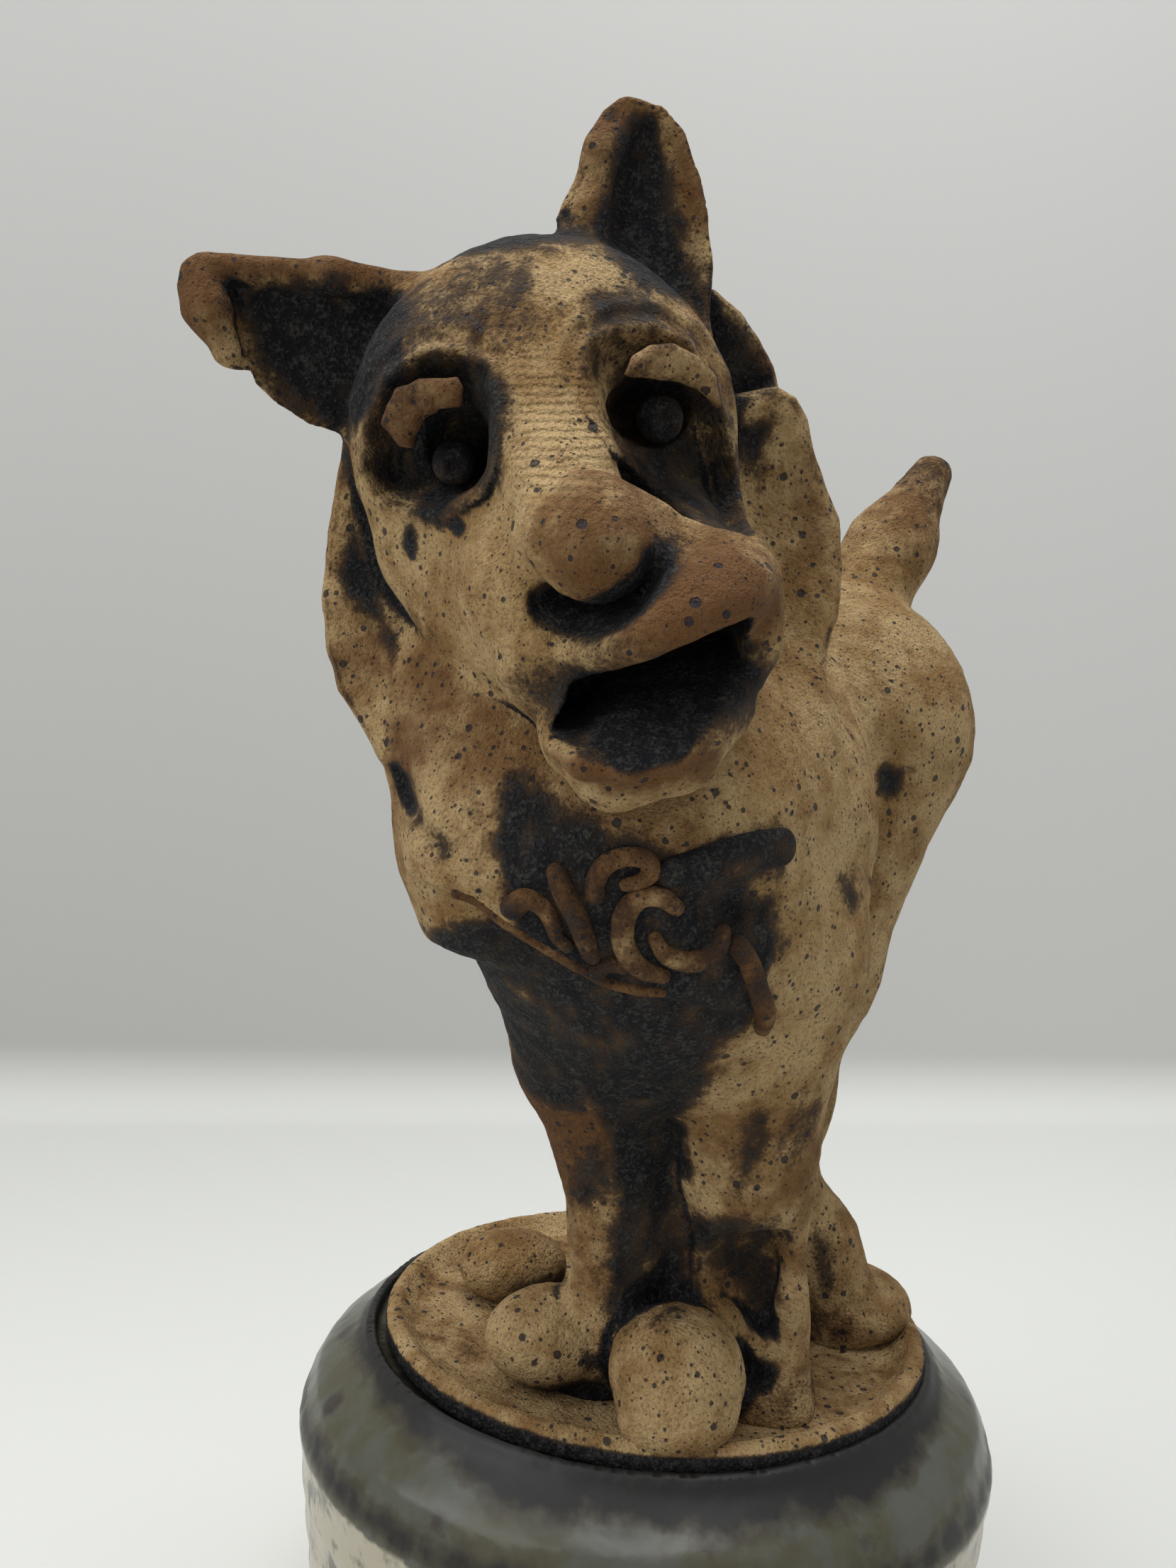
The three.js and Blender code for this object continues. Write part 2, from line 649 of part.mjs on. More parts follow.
for (const [name, flap] of Object.entries(FLAPS)) {
  place(head, name, cut(solid(limb(flap)), flapCarriers), TOASTED_CLAY);
  flapCarriers = join(flapCarriers, solid(limb(flap, GAP)));
}

// Rolled clay on the chest, as turns in degrees and rises above the chest's foot: a curl runs from
// its first point to its last, drawn towards the two between
const CURLS = {
  curl_hook: [[1, 12.2], [-1.5, 17.6], [16.5, 18.4], [12.5, 11]],
  curl_strip: [[17, 18.2], [16, 15], [17, 12.6], [20.5, 10.6]],
  curl_loop: [[21.5, 14], [20.5, 18.2], [27, 19.2], [35, 19]],
  curl_round: [[39, 15.6], [27, 18.6], [20, 8.8], [33, 8.4]],
  curl_crescent: [[36, 13.2], [38, 9.4], [51.5, 9.4], [51, 15.2]],
  curl_long: [[54, 11.6], [57, 8.5], [63, 6.5], [68, 4.1]],
  curl_scrap: [[17, 8.4], [18.5, 9], [20.5, 9.2], [22.5, 9.2]],
};
const BIB_EDGE = [[-20, 18], [-10, 15.4], [-2, 12.8], [10, 8.8], [18, 6.6], [27, 5.6], [33, 5.4]];
const rolls = { bib_edge: new THREE.CatmullRomCurve3(BIB_EDGE.map(([turn, rise]) => onChest(turn, rise))) };
for (const [name, bends] of Object.entries(CURLS)) {
  rolls[name] = new THREE.CubicBezierCurve3(...bends.map(([turn, rise]) => onChest(turn, rise)));
}
let curlCarriers = join(chestCarrier, torsoCarrier);
for (const leg of Object.values(LEGS)) {
  curlCarriers = join(curlCarriers, solid(limb(leg, GAP)));
}
for (const [name, path] of Object.entries(rolls)) {
  place(dog, name, cut(solid(roll(path, CURL_RADIUS)), curlCarriers), TOASTED_CLAY);
  curlCarriers = join(curlCarriers, solid(roll(path, CURL_RADIUS + GAP)));
}

const STRAP = {
  spine: [onChest(40, 19.5), onChest(53, 21), onChest(66, 22.5)],
  widths: [STRAP_WIDTH, STRAP_WIDTH, STRAP_WIDTH],
  depths: [CURL_RADIUS, CURL_RADIUS, CURL_RADIUS],
  across: new THREE.Vector3(0, 0, 1),
};
place(dog, 'collar_strap', cut(solid(limb(STRAP)), curlCarriers), STAINED_CLAY);

export default dog;
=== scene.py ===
import json
import math

import bpy
import numpy as np
from mathutils import Matrix, Vector


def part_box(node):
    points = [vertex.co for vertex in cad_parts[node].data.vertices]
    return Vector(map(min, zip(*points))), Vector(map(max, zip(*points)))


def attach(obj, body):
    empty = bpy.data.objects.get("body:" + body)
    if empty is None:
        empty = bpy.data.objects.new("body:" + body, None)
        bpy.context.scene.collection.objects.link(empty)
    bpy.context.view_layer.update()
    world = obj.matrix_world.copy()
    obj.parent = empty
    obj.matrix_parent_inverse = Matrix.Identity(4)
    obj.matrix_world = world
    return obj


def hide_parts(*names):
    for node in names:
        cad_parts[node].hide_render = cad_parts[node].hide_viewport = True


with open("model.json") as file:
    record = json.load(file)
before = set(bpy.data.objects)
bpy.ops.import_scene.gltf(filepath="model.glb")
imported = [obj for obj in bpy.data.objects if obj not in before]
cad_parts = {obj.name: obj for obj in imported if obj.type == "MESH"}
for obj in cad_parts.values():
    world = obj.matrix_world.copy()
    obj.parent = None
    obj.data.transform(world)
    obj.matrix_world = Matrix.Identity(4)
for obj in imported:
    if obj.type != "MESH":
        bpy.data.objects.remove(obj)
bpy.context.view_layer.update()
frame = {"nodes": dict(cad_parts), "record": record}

# Clay is measured in millimetres here and turned into metres when a piece is made
MM = 0.001
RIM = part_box("standing_disc")[1].z / MM
WELL_DEPTH = 2.2
STAND = RIM - WELL_DEPTH
FEET = np.array([0, 0, STAND])
FINE = 0.4
BODY_FINE = 0.55


# Shapes in soft clay: each gives the distance of points from a form, negative inside it

def length(v):
    """Length of each vector in a list."""
    return np.sqrt((v * v).sum(-1))


def turn(axis, degrees):
    """Matrix of a turn about one axis."""
    c, s = math.cos(math.radians(degrees)), math.sin(math.radians(degrees))
    x, y = {"x": (1, 2), "y": (2, 0), "z": (0, 1)}[axis]
    m = np.eye(3)
    m[x, x] = m[y, y] = c
    m[x, y], m[y, x] = -s, s
    return m


def pellet(p, centre, radii, slant=0.0):
    """Ball of clay pressed to three half sizes and slanted about its own third axis."""
    q = (p - np.array(centre, float)) @ turn("z", slant)
    r = np.array(radii, float)
    near = length(q / r)
    return near * (near - 1) / np.maximum(length(q / (r * r)), 1e-9)


def coil(p, points, radii, soft=2.0):
    """Rolled coil through some points, its radius changing from one to the next."""
    whole = None
    for i in range(len(points) - 1):
        a, b = np.array(points[i], float), np.array(points[i + 1], float)
        along = b - a
        t = np.clip(((p - a) @ along) / (along @ along), 0, 1)
        one = length(p - a - t[:, None] * along) - (radii[i] + (radii[i + 1] - radii[i]) * t)
        if whole is None:
            whole = one
        else:
            whole = lute(whole, one, soft) if soft else np.minimum(whole, one)
    return whole


def bent(points, radii, between=4):
    """Path and radii of a coil that bends smoothly through its points."""
    knots = np.column_stack([np.array(points, float), radii])
    knots = np.vstack([2 * knots[0] - knots[1], knots, 2 * knots[-1] - knots[-2]])
    path = [knots[1]]
    for a, b, c, d in zip(knots, knots[1:], knots[2:], knots[3:]):
        for t in np.arange(1, between + 1) / between:
            curve = (2 * a - 5 * b + 4 * c - d) * t ** 2 + (3 * b - a - 3 * c + d) * t ** 3
            path.append(0.5 * (2 * b + (c - a) * t + curve))
    path = np.array(path)
    return path[:, :3], path[:, 3]


def lute(a, b, soft):
    """Two forms joined with slip, the joint filled to a soft radius."""
    h = np.clip(0.5 + 0.5 * (b - a) / soft, 0, 1)
    return b + (a - b) * h - soft * h * (1 - h)


def press(a, b, soft):
    """First form with the second pressed out of it."""
    return -lute(-a, b, soft)


def ease(low, high, v):
    """Smooth step from 0 at low to 1 at high, also where low is the larger."""
    t = np.clip((v - low) / (high - low), 0, 1)
    return t * t * (3 - 2 * t)


def grain(p, size, seed):
    """Smooth random lumps of about one size, from -1 to 1."""
    q = p / size
    cell = np.floor(q)
    f = q - cell
    u = f * f * (3 - 2 * f)
    whole = cell.astype(np.int64)
    total = np.zeros(len(p))
    for corner in range(8):
        step = np.array([corner & 1, corner >> 1 & 1, corner >> 2 & 1])
        k = whole + step
        h = (k[:, 0] * 73856093) ^ (k[:, 1] * 19349663) ^ (k[:, 2] * 83492791) ^ (seed * 2654435761)
        h = (h ^ (h >> 13)) * 1274126177 & 0xFFFFFFFF
        h = (h ^ (h >> 16)) & 0xFFFF
        weight = np.prod(np.where(step, u, 1 - u), axis=1)
        total += weight * h
    return total / 0x7FFF - 1


# The body, in millimetres with heights from the floor of the disc

CHEST = [
    (11, -20, 42), (10.7, -23.5, 51.25), (9, -26.5, 62), (2.4, -28.4, 72), (4, -24, 84),
    (3, -24, 92),
]
CHEST_RADII = [9, 15.3, 18.8, 15.6, 13, 10]
TORSO = [(13, -13.5, 63), (11, 0, 73), (13.5, 13, 75)]
TORSO_RADII = [16.6, 11.8, 16.2]
HAUNCHES = {
    "haunch_left": ([(16, 13, 72), (14, 8, 46)], [14, 8.5]),
    "haunch_right": ([(7, 13, 70), (4, 9, 44)], [13, 9]),
}
LEGS = {
    "front_leg_left": (
        [(19, -15, 48), (16.5, -11, 26.7), (17, -9, 10), (18, -8, 0)],
        [11, 7, 5.6, 6.4]),
    "front_leg_right": (
        [(3.5, -22.5, 46), (3.2, -20.5, 37), (4.6, -19, 27), (5.4, -17.6, 18), (4.2, -16.8, 7),
         (2.5, -16, 0)],
        [10, 8, 5.1, 4.4, 4.4, 5.4]),
    "hind_leg_left": (
        [(14, 8, 44), (12.5, 7.3, 28), (11.5, 6.8, 20), (16, 10, 11), (18.5, 13, 2)],
        [7.2, 5.2, 4.4, 4.8, 6]),
    "hind_leg_right": (
        [(4, 9, 42), (-2, 9, 20), (-8.5, 6.5, 0)],
        [7.5, 5, 5.4]),
}
PAWS = {
    "front_paw_left": ((14.6, -19.6, 5.9), (6.9, 7.8, 6.3), 40),
    "front_paw_right": ((-0.6, -20.2, 5), (7.2, 6.2, 5.1), 40),
    "hind_paw_left": ((19.6, 15.6, 2.6), (7, 8, 4.2), 20),
    "hind_paw_right": ((-17, -6, 3.6), (6.7, 5.4, 4.4), 40),
}
TAIL = [(13.5, 17, 87.5), (16.5, 22.3, 97.8), (19.5, 27.6, 108.1)]
TAIL_RADII = [6.4, 5.2, 2.7]
FRONT = turn("z", -35)
NECK_FOLD = [
    (-29.6, 65.4), (-27.9, 64.7), (-25.6, 61.2), (-23.2, 59.1), (-23.7, 58.3), (-26.1, 59.9),
    (-28.5, 62.8),
]
BIB_TURNS = (-60, -30, -4.9, 0, 6.8, 13.2, 19.7, 26.7, 33, 45, 80, 110)
BIB_EDGE = (58, 56.5, 54.4, 52.5, 50.8, 49.2, 47.9, 47.4, 47.2, 46, 44, 42)


def chest_middle(rise):
    """Middle and radius of the chest at some heights."""
    across, forward, heights = zip(*CHEST)
    return [np.interp(rise, heights, track) for track in (across, forward, CHEST_RADII)]


def round_chest(b):
    """Turn to the dog's left, in degrees, of a place seen from the middle of the chest."""
    x, y, _ = chest_middle(b[:, 2])
    return np.degrees(np.arctan2(b[:, 0] - x, y - b[:, 1]))


def chest(b):
    """Neck and chest: the bib stands proud above its edge, the breast swells to the dog's right of it."""
    way, rise = round_chest(b), b[:, 2]
    above = rise - np.interp(way, BIB_TURNS, BIB_EDGE)
    bib = (1.5 + 1.1 * ease(25, 0, way)) * ease(-0.6, 0.6, above)
    bib = bib * (1 - 0.8 * ease(4, 24, above)) * ease(-34, -8, way)
    breast = 3.3 * ease(47, 49.6, rise) * ease(76, 55, rise) * ease(4, -26, way)
    under_strap = 1.7 * np.exp(-((way - 57) / 12) ** 2 - ((rise - 55.2) / 1.6) ** 2)
    across, depth, _ = (b @ FRONT.T).T
    fold = 0.8 * ease(0.8, -0.6, outline(across, rise, NECK_FOLD)) * ease(-20, -26, depth)
    return coil(b, CHEST, CHEST_RADII, 4) - bib - breast + under_strap + fold


def torso(b):
    return coil(b, TORSO, TORSO_RADII, 3)


def body_parts(b):
    """Each piece of the body by itself, before the joints are filled."""
    parts = {"neck_and_chest": chest(b), "torso": torso(b)}
    for name, (points, radii) in {**HAUNCHES, **LEGS}.items():
        parts[name] = coil(b, points, radii, 4)
    for name, (centre, radii, slant) in PAWS.items():
        parts[name] = pellet(b, centre, radii, slant)
    recess = pellet(b, (20, -14, 12), (7, 4.6, 8.5), 37)
    brace = coil(b, [(11, -13, 12), (16, -13, 9), (21.5, -9.5, 5)], [2, 1.8, 1.6], 2)
    strut = [(22, -9.5, 24), (22.2, -9.6, 12), (22, -9.4, 5), (22, -9.6, 0)]
    strut = coil(b, strut, [1.5, 1.2, 1.6, 3], 2)
    d = press(parts["front_leg_left"], recess, 1.5)
    parts["front_leg_left"] = lute(lute(d, brace, 1.5), strut, 1.5)
    web = coil(b, [(10.5, -15, 30), (10.5, -12, 12), (10, -10, 0)], [4, 3, 3.4], 3)
    parts["front_leg_right"] = lute(parts["front_leg_right"], web, 1.5)
    toes = pellet(b, (17, -23.4, 3), (5.6, 3.6, 3), 38)
    parts["front_paw_left"] = lute(parts["front_paw_left"], toes, 1.8)
    parts["tail"] = coil(b, TAIL, TAIL_RADII, 3)
    return parts


def body_skin(b, parts):
    d = lute(parts["neck_and_chest"], parts["torso"], 5)
    for name in HAUNCHES:
        d = lute(d, parts[name], 4)
    legs = np.minimum.reduce([parts[name] for name in LEGS])
    d = lute(d, legs, 6)
    for name in PAWS:
        d = lute(d, parts[name], 0.8)
    d = lute(d, parts["tail"], 3)
    return np.maximum(d, -0.3 - b[:, 2])


# The head, in its own frame: x to its left, y up its face and z out of its face

HEAD_AT = np.array([8, -40, 95.8])
HEAD = turn("z", 37) @ turn("x", 106) @ turn("z", 4)
UPRIGHT_EAR = [
    (3.7, 16.1), (0.2, 19.8), (1.8, 22.6), (3.6, 26.7), (4.8, 29.4), (6.6, 30.4), (8.5, 30.5),
    (10.5, 29.8), (12.6, 27.5), (13.8, 24.1), (14.7, 20), (15.2, 15.5), (14.5, 8), (5, 8),
]
UPRIGHT_PANEL = [
    (3.7, 17.6), (5, 22.2), (6.2, 26.6), (7.4, 29.1), (10, 29.2), (11.1, 24.5), (12.2, 18.6),
    (13.2, 13.6), (8.1, 12),
]
FLOPPED_EAR = [
    (-10, 13), (-12.9, 14.3), (-16.2, 15.2), (-20, 15.5), (-25.2, 15.2), (-31.3, 15.9),
    (-32.5, 14.9), (-33.1, 13.4), (-32.4, 11.2), (-30.3, 8.4), (-29, 6.2), (-27.8, 6.2), (-27.4, 5),
    (-25.6, 3.2), (-22.7, 1.4), (-19.5, 0.3), (-13, 0),
]
FLOPPED_PANEL = [
    (-29, 13.8), (-25.3, 13.7), (-20.2, 13.7), (-14.8, 13.2), (-11, 10.7), (-13, 2), (-19.3, 0.6),
    (-22.6, 2), (-26.4, 5), (-27.5, 7.9),
]
LEFT_RUFF = [
    (14, 3.6), (21.6, 5), (23.6, 4), (24.7, 1.9), (25.4, -0.9), (26.7, -4.3), (28.2, -7.6),
    (28.3, -12.5), (27.9, -16.5), (26.8, -19.1), (25.1, -22.9), (22.8, -26.6), (12, -27),
]
RIGHT_RUFF = [
    (-13, 1), (-20.1, 0), (-21, -3.9), (-22, -8.2), (-22.7, -14.4), (-22.3, -19.2), (-21.2, -23.1),
    (-19.6, -25.1), (-16.5, -27.5), (-9, -24),
]
CREST = [(6, 15), (15.6, 14), (18.4, 11.9), (20.3, 9.6), (21.8, 7), (22.6, 4.4), (21, 1), (12, 0)]


def in_head(b):
    return (b - HEAD_AT) @ HEAD


def outline(u, v, corners):
    """Distance in a plane from a closed outline, negative inside it."""
    near = np.full(len(u), 1e9)
    inside = np.zeros(len(u), bool)
    for (au, av), (bu, bv) in zip(corners, corners[1:] + corners[:1]):
        eu, ev = bu - au, bv - av
        t = np.clip(((u - au) * eu + (v - av) * ev) / (eu * eu + ev * ev), 0, 1)
        near = np.minimum(near, (u - au - eu * t) ** 2 + (v - av - ev * t) ** 2)
        if av != bv:
            inside ^= ((av > v) != (bv > v)) & (u < au + eu * (v - av) / ev)
    return np.where(inside, -1, 1) * np.sqrt(near)


def leaf(q, corners, lie, thick, curl, soft):
    """Leaf of clay cut to an outline, lying at some depth, with its edge curled forward."""
    edge = outline(q[:, 0], q[:, 1], corners)
    middle = lie + curl * np.exp(-np.clip(-edge, 0, 9) / 1.6)
    return press((np.abs(q[:, 2] - middle) - thick / 2) * 0.8, -edge, soft)


# Lines of the mouth across the face: the upper lip, and the floor of the lower jaw in front and behind
UPPER_LIP = [
    (-0.8, -22.6), (0, -20.9), (1.2, -18.3), (4.3, -16.6), (7.1, -15.3), (9.9, -14.1), (12.6, -13.1),
    (14.8, -12.6),
]
FLOOR_FRONT = [(-0.3, -22), (2, -22.6), (5.4, -22.6), (8.8, -22), (12.1, -20.2), (14.6, -18)]
FLOOR_BACK = [(0, -22), (2.1, -21.4), (4.5, -19.4), (7.5, -18.4), (10.4, -17.3), (13.9, -16.2)]


def mouth(q):
    """The open mouth: a wedge between the upper lip and the floor of the lower jaw."""
    x, y, z = q[:, 0], q[:, 1], q[:, 2]
    lip = np.interp(x, *zip(*UPPER_LIP))
    front = np.interp(x, *zip(*FLOOR_FRONT))
    back = np.interp(x, *zip(*FLOOR_BACK))
    floor = back + (front - back) * (z - 15) / 12
    return np.maximum.reduce([floor - y, y - lip, x - 14.4, 12 - z]) * 0.8


def cheek_ruffs(q):
    """The flaps that hang from the cheeks, left and right, coming forward as they go down."""
    y = q[:, 1]
    left = leaf(q, LEFT_RUFF, -9.5 + 0.36 * np.clip(-5 - y, 0, 30), 4.6, 0.6, 2.2)
    right = leaf(q, RIGHT_RUFF, -6.5 + 0.3 * np.clip(-8 - y, 0, 30), 4.6, 0.6, 2.2)
    return left, right


def nose(q):
    return pellet(q, (3, -7.8, 20.9), (4.6, 4.2, 4.7))


def under_nose(q):
    """How far a place lies in the hollow below the nose, from 0 outside it to 1 against the nose."""
    x, y, z = q.T
    below = ease(0.4, -2.4, y + 8.5 - 0.45 * (x - 3)) * ease(-2.6, -1.2, x) * ease(14, 17, z)
    return below * ease(4.6, 0.4, nose(q))


def skull_form(q):
    """Round back of the head and its broad brow."""
    return lute(pellet(q, (-1, 1, -9), (17.2, 17.3, 18)), pellet(q, (-1, 0.5, -2), (17.4, 14.5, 9)), 4)


def cheek_form(q):
    right = coil(q, [(-12.3, -3.5, -1.6), (-11.2, -9.8, -1), (-8.2, -15.8, 0.8)], [5, 4.8, 4.6], 3)
    left = coil(q, [(10.5, -4, 0), (11.5, -12, 7)], [5.6, 5.4])
    return lute(right, left, 3)


def snout_form(q):
    """Bridge, right side of the snout down to the cheek, upper lip and its left corner."""
    bridge = [(-1.4, 7, 3), (-0.9, 0, 8.4), (0.4, -4, 12.4), (1.6, -7.5, 16.2)]
    side = [(-4.3, -6.8, 6.4), (-1.5, -12, 11), (1.1, -16.5, 13.6)]
    plane = [(-8.4, -9.6, 2.2), (-6.2, -13.6, 4.6), (-3.4, -17.4, 7)]
    ridge = [
        (3.5, -5.4, 18.6), (7.5, -7, 18.2), (10.5, -8.2, 17.8), (13.5, -9.4, 17.6), (15.2, -10.6, 17.6),
    ]
    corner = [(15.2, -10.6, 17.8), (16, -13, 18.4), (16, -15.6, 18.6), (15.2, -18.2, 18.8)]
    d = coil(q, bridge, [4.6, 4.3, 4.4, 4.8], 2)
    d = lute(d, coil(q, side, [5, 6.4, 6.9], 2), 2)
    d = lute(d, pellet(q, (8.6, -13, 17.2), (9.3, 4.9, 10.6), 20), 1.8)
    d = lute(d, coil(q, plane, [4.6, 5, 4.8], 2), 3)
    d = lute(d, coil(q, ridge, [2.3, 1.6, 1.5, 1.5, 1.6], 2), 1.8)
    d = lute(d, coil(q, corner, [1.6, 1.5, 1.4, 1.4], 2), 1.2)
    return lute(d, pellet(q, (14.6, -14, 12), (2.6, 6.5, 7)), 1.5)


def jaw_form(q):
    """Lower jaw with its chin and the thin lip that rims the mouth."""
    chin = [(1.4, -23.8, 19), (4.4, -24.4, 22.4), (9, -23.2, 22), (12.8, -20.6, 19)]
    under_lip = [
        (-0.1, -22.6, 23), (2, -23.3, 26), (5.4, -23.4, 27), (8.8, -22.8, 26.4), (12.1, -21.1, 24),
        (14.6, -18.9, 20.6),
    ]
    d = pellet(q, (6.8, -20.6, 15.8), (8.8, 5.6, 9.6), 14)
    d = lute(d, coil(q, chin, [2.4, 3.3, 3.2, 2.8], 2), 2)
    return lute(d, coil(q, under_lip, [1, 1.05, 1.1, 1.1, 1.05, 1], 1.2), 1)


def upright_ear(q):
    roll = [(3, 15, -8.5), (3.4, 20, -9.6), (5, 26, -11), (7.2, 29, -12)]
    d = leaf(q, UPRIGHT_EAR, -11 - 0.22 * (q[:, 1] - 14), 2.4, 3.0, 1.5)
    return lute(d, coil(q, roll, [2, 1.6, 1.5, 1.3]), 1)


def flopped_ear(q):
    tip_roll = [(-31.2, 14.2, -3.2), (-30.9, 11.4, -2.6), (-29.4, 7.8, -2.6)]
    top_roll = [(-13, 13.4, -6), (-20, 14.4, -5), (-30, 14.8, -3.4)]
    d = leaf(q, FLOPPED_EAR, -8.6 - 0.16 * (q[:, 0] + 13), 2.4, 2.6, 1.4)
    d = lute(d, coil(q, tip_roll, [1.6, 1.7, 1.3]), 1)
    return lute(d, coil(q, top_roll, [1.3, 1.2, 1.1]), 0.8)


def head_parts(q):
    """Each piece of the head by itself, and the snout and cheeks that the muzzle is made of."""
    snout, cheeks = snout_form(q), cheek_form(q)
    left_ruff, right_ruff = cheek_ruffs(q)
    return {
        "cranium": skull_form(q), "muzzle": np.minimum(snout, cheeks + 0.5), "lower_jaw": jaw_form(q),
        "nose": nose(q),
        "ear_left": upright_ear(q), "ear_right": flopped_ear(q),
        "crest": leaf(q, CREST, -13.5, 4.4, 1.2, 1.8),
        "ruff_left": left_ruff, "ruff_right": right_ruff,
    }, snout, cheeks


RIGHT_RIM = [
    (-5, 5.7), (-7.5, 7.2), (-11, 7.3), (-14.3, 5.1), (-16.4, 1.5), (-17.1, -2.3), (-16.3, -5.1),
    (-13.2, -6.1), (-9.3, -6.1), (-6, -4.2), (-5.1, -2.2), (-4.6, 1.9),
]
LEFT_RIM = [
    (2.6, 7.5), (5.2, 8.9), (8.4, 9.2), (11.6, 8), (13.9, 4.7), (15.3, 1.3), (16.2, -2.4),
    (16.5, -6.3), (15.6, -9.2), (13, -7.5), (10, -5.4), (7.4, -3), (4.9, -0.8), (3.1, 1.9),
    (2.2, 4.7),
]
SOCKETS = [((-8.6, -0.6, 7), (3.5, 3.9, 8)), ((8.6, 2.4, 6), (4.3, 3.1, 7.5))]


def head_skin(q, parts, snout, cheeks):
    x, y, z = q.T
    d = lute(parts["cranium"], cheeks, 2.5)
    d = lute(d, snout, 3.6)
    front = ease(-5, 0, z) * ease(17, 14, z)
    for rim, depth in ((RIGHT_RIM, 3.4), (LEFT_RIM, 2.2)):
        edge = outline(x, y, rim)
        fold = 0.7 * np.exp(-(edge / 0.6) ** 2) + 0.3 * np.exp(-((edge - 1.9) / 0.5) ** 2) * ease(2, 6, y)
        d = d + front * (depth * ease(-0.2, -3, edge) - fold)
    for centre, radii in SOCKETS:
        d = press(d, pellet(q, centre, radii), 0.6)
    d = d + 3 * under_nose(q) * ease(9, 5, x)
    d = lute(d, parts["nose"], 0.4 + 3.6 * ease(-11, -7.4, y))
    d = lute(d, parts["lower_jaw"], 0.8)
    d = press(d, mouth(q), 0.5)
    for name, soft in (("ear_left", 2), ("ear_right", 2), ("crest", 1)):
        d = lute(d, parts[name], soft)
    return d


# One skin of clay over the whole dog, and which piece owns each place on it

def joined(head, neck, ruffs):
    """Head and neck meeting in a crease, with the ruffs of the cheeks running down into the neck."""
    d = lute(head, neck, 1)
    for ruff in ruffs:
        d = np.minimum(d, np.minimum(lute(head, ruff, 0.8), lute(ruff, neck, 6)))
    return d


def dog_head(p):
    b = p - FEET
    q = in_head(b)
    parts, snout, cheeks = head_parts(q)
    head = head_skin(q, parts, snout, cheeks)
    parts["neck_and_chest"] = lute(chest(b), torso(b), 5)
    return joined(head, parts["neck_and_chest"], [parts["ruff_left"], parts["ruff_right"]]), parts


def dog_body(p):
    b = p - FEET
    parts = body_parts(b)
    ruffs = cheek_ruffs(in_head(b))
    skin = body_skin(b, parts)
    for ruff in ruffs:
        skin = np.minimum(skin, lute(ruff, skin, 6))
    parts["ruffs"] = np.minimum(*ruffs)
    return skin, parts


OVERLAP = 1.6


def own_piece(name, skin, parts):
    """One piece: the whole skin where the piece is nearest, dipping under its neighbours past that."""
    others = np.minimum.reduce([field for other, field in parts.items() if other != name])
    past = (parts[name] - others) / 2
    dip = 0.5 * np.clip(past / OVERLAP, 0, 2) ** 2
    return np.maximum(skin + dip, past - OVERLAP)


# Turning a form into a mesh

BLOCK = 8


def block_points(blocks, low, step):
    inner = np.stack(np.meshgrid(*[np.arange(BLOCK)] * 3, indexing="ij"), -1).reshape(-1, 3)
    return low + (blocks[:, None] * BLOCK + inner[None]) * step


def sampled(whole, names, low, high, step):
    """Each named piece of a whole on one grid, worked out only in and near the clay."""
    low = low - step * 2
    count = np.ceil((high - low) / (step * BLOCK)).astype(int) + 1
    where = np.stack(np.meshgrid(*[np.arange(n) for n in count], indexing="ij"), -1).reshape(-1, 3)
    middle, _ = whole(low + (where * BLOCK + (BLOCK - 1) / 2) * step)
    close = where[middle < BLOCK * step * 1.4]
    grids = {name: np.ones(tuple(count) + (BLOCK,) * 3, np.float32) for name in names}
    for some in np.array_split(close, max(1, len(close) // 300)):
        skin, parts = whole(block_points(some, low, step).reshape(-1, 3))
        for name in names:
            grids[name][tuple(some.T)] = own_piece(name, skin, parts).reshape((-1,) + (BLOCK,) * 3)
    for name in names:
        grids[name] = grids[name].transpose(0, 3, 1, 4, 2, 5).reshape(tuple(count * BLOCK))
    return low, grids


CORNERS = [np.array([c & 1, c >> 1 & 1, c >> 2 & 1]) for c in range(8)]


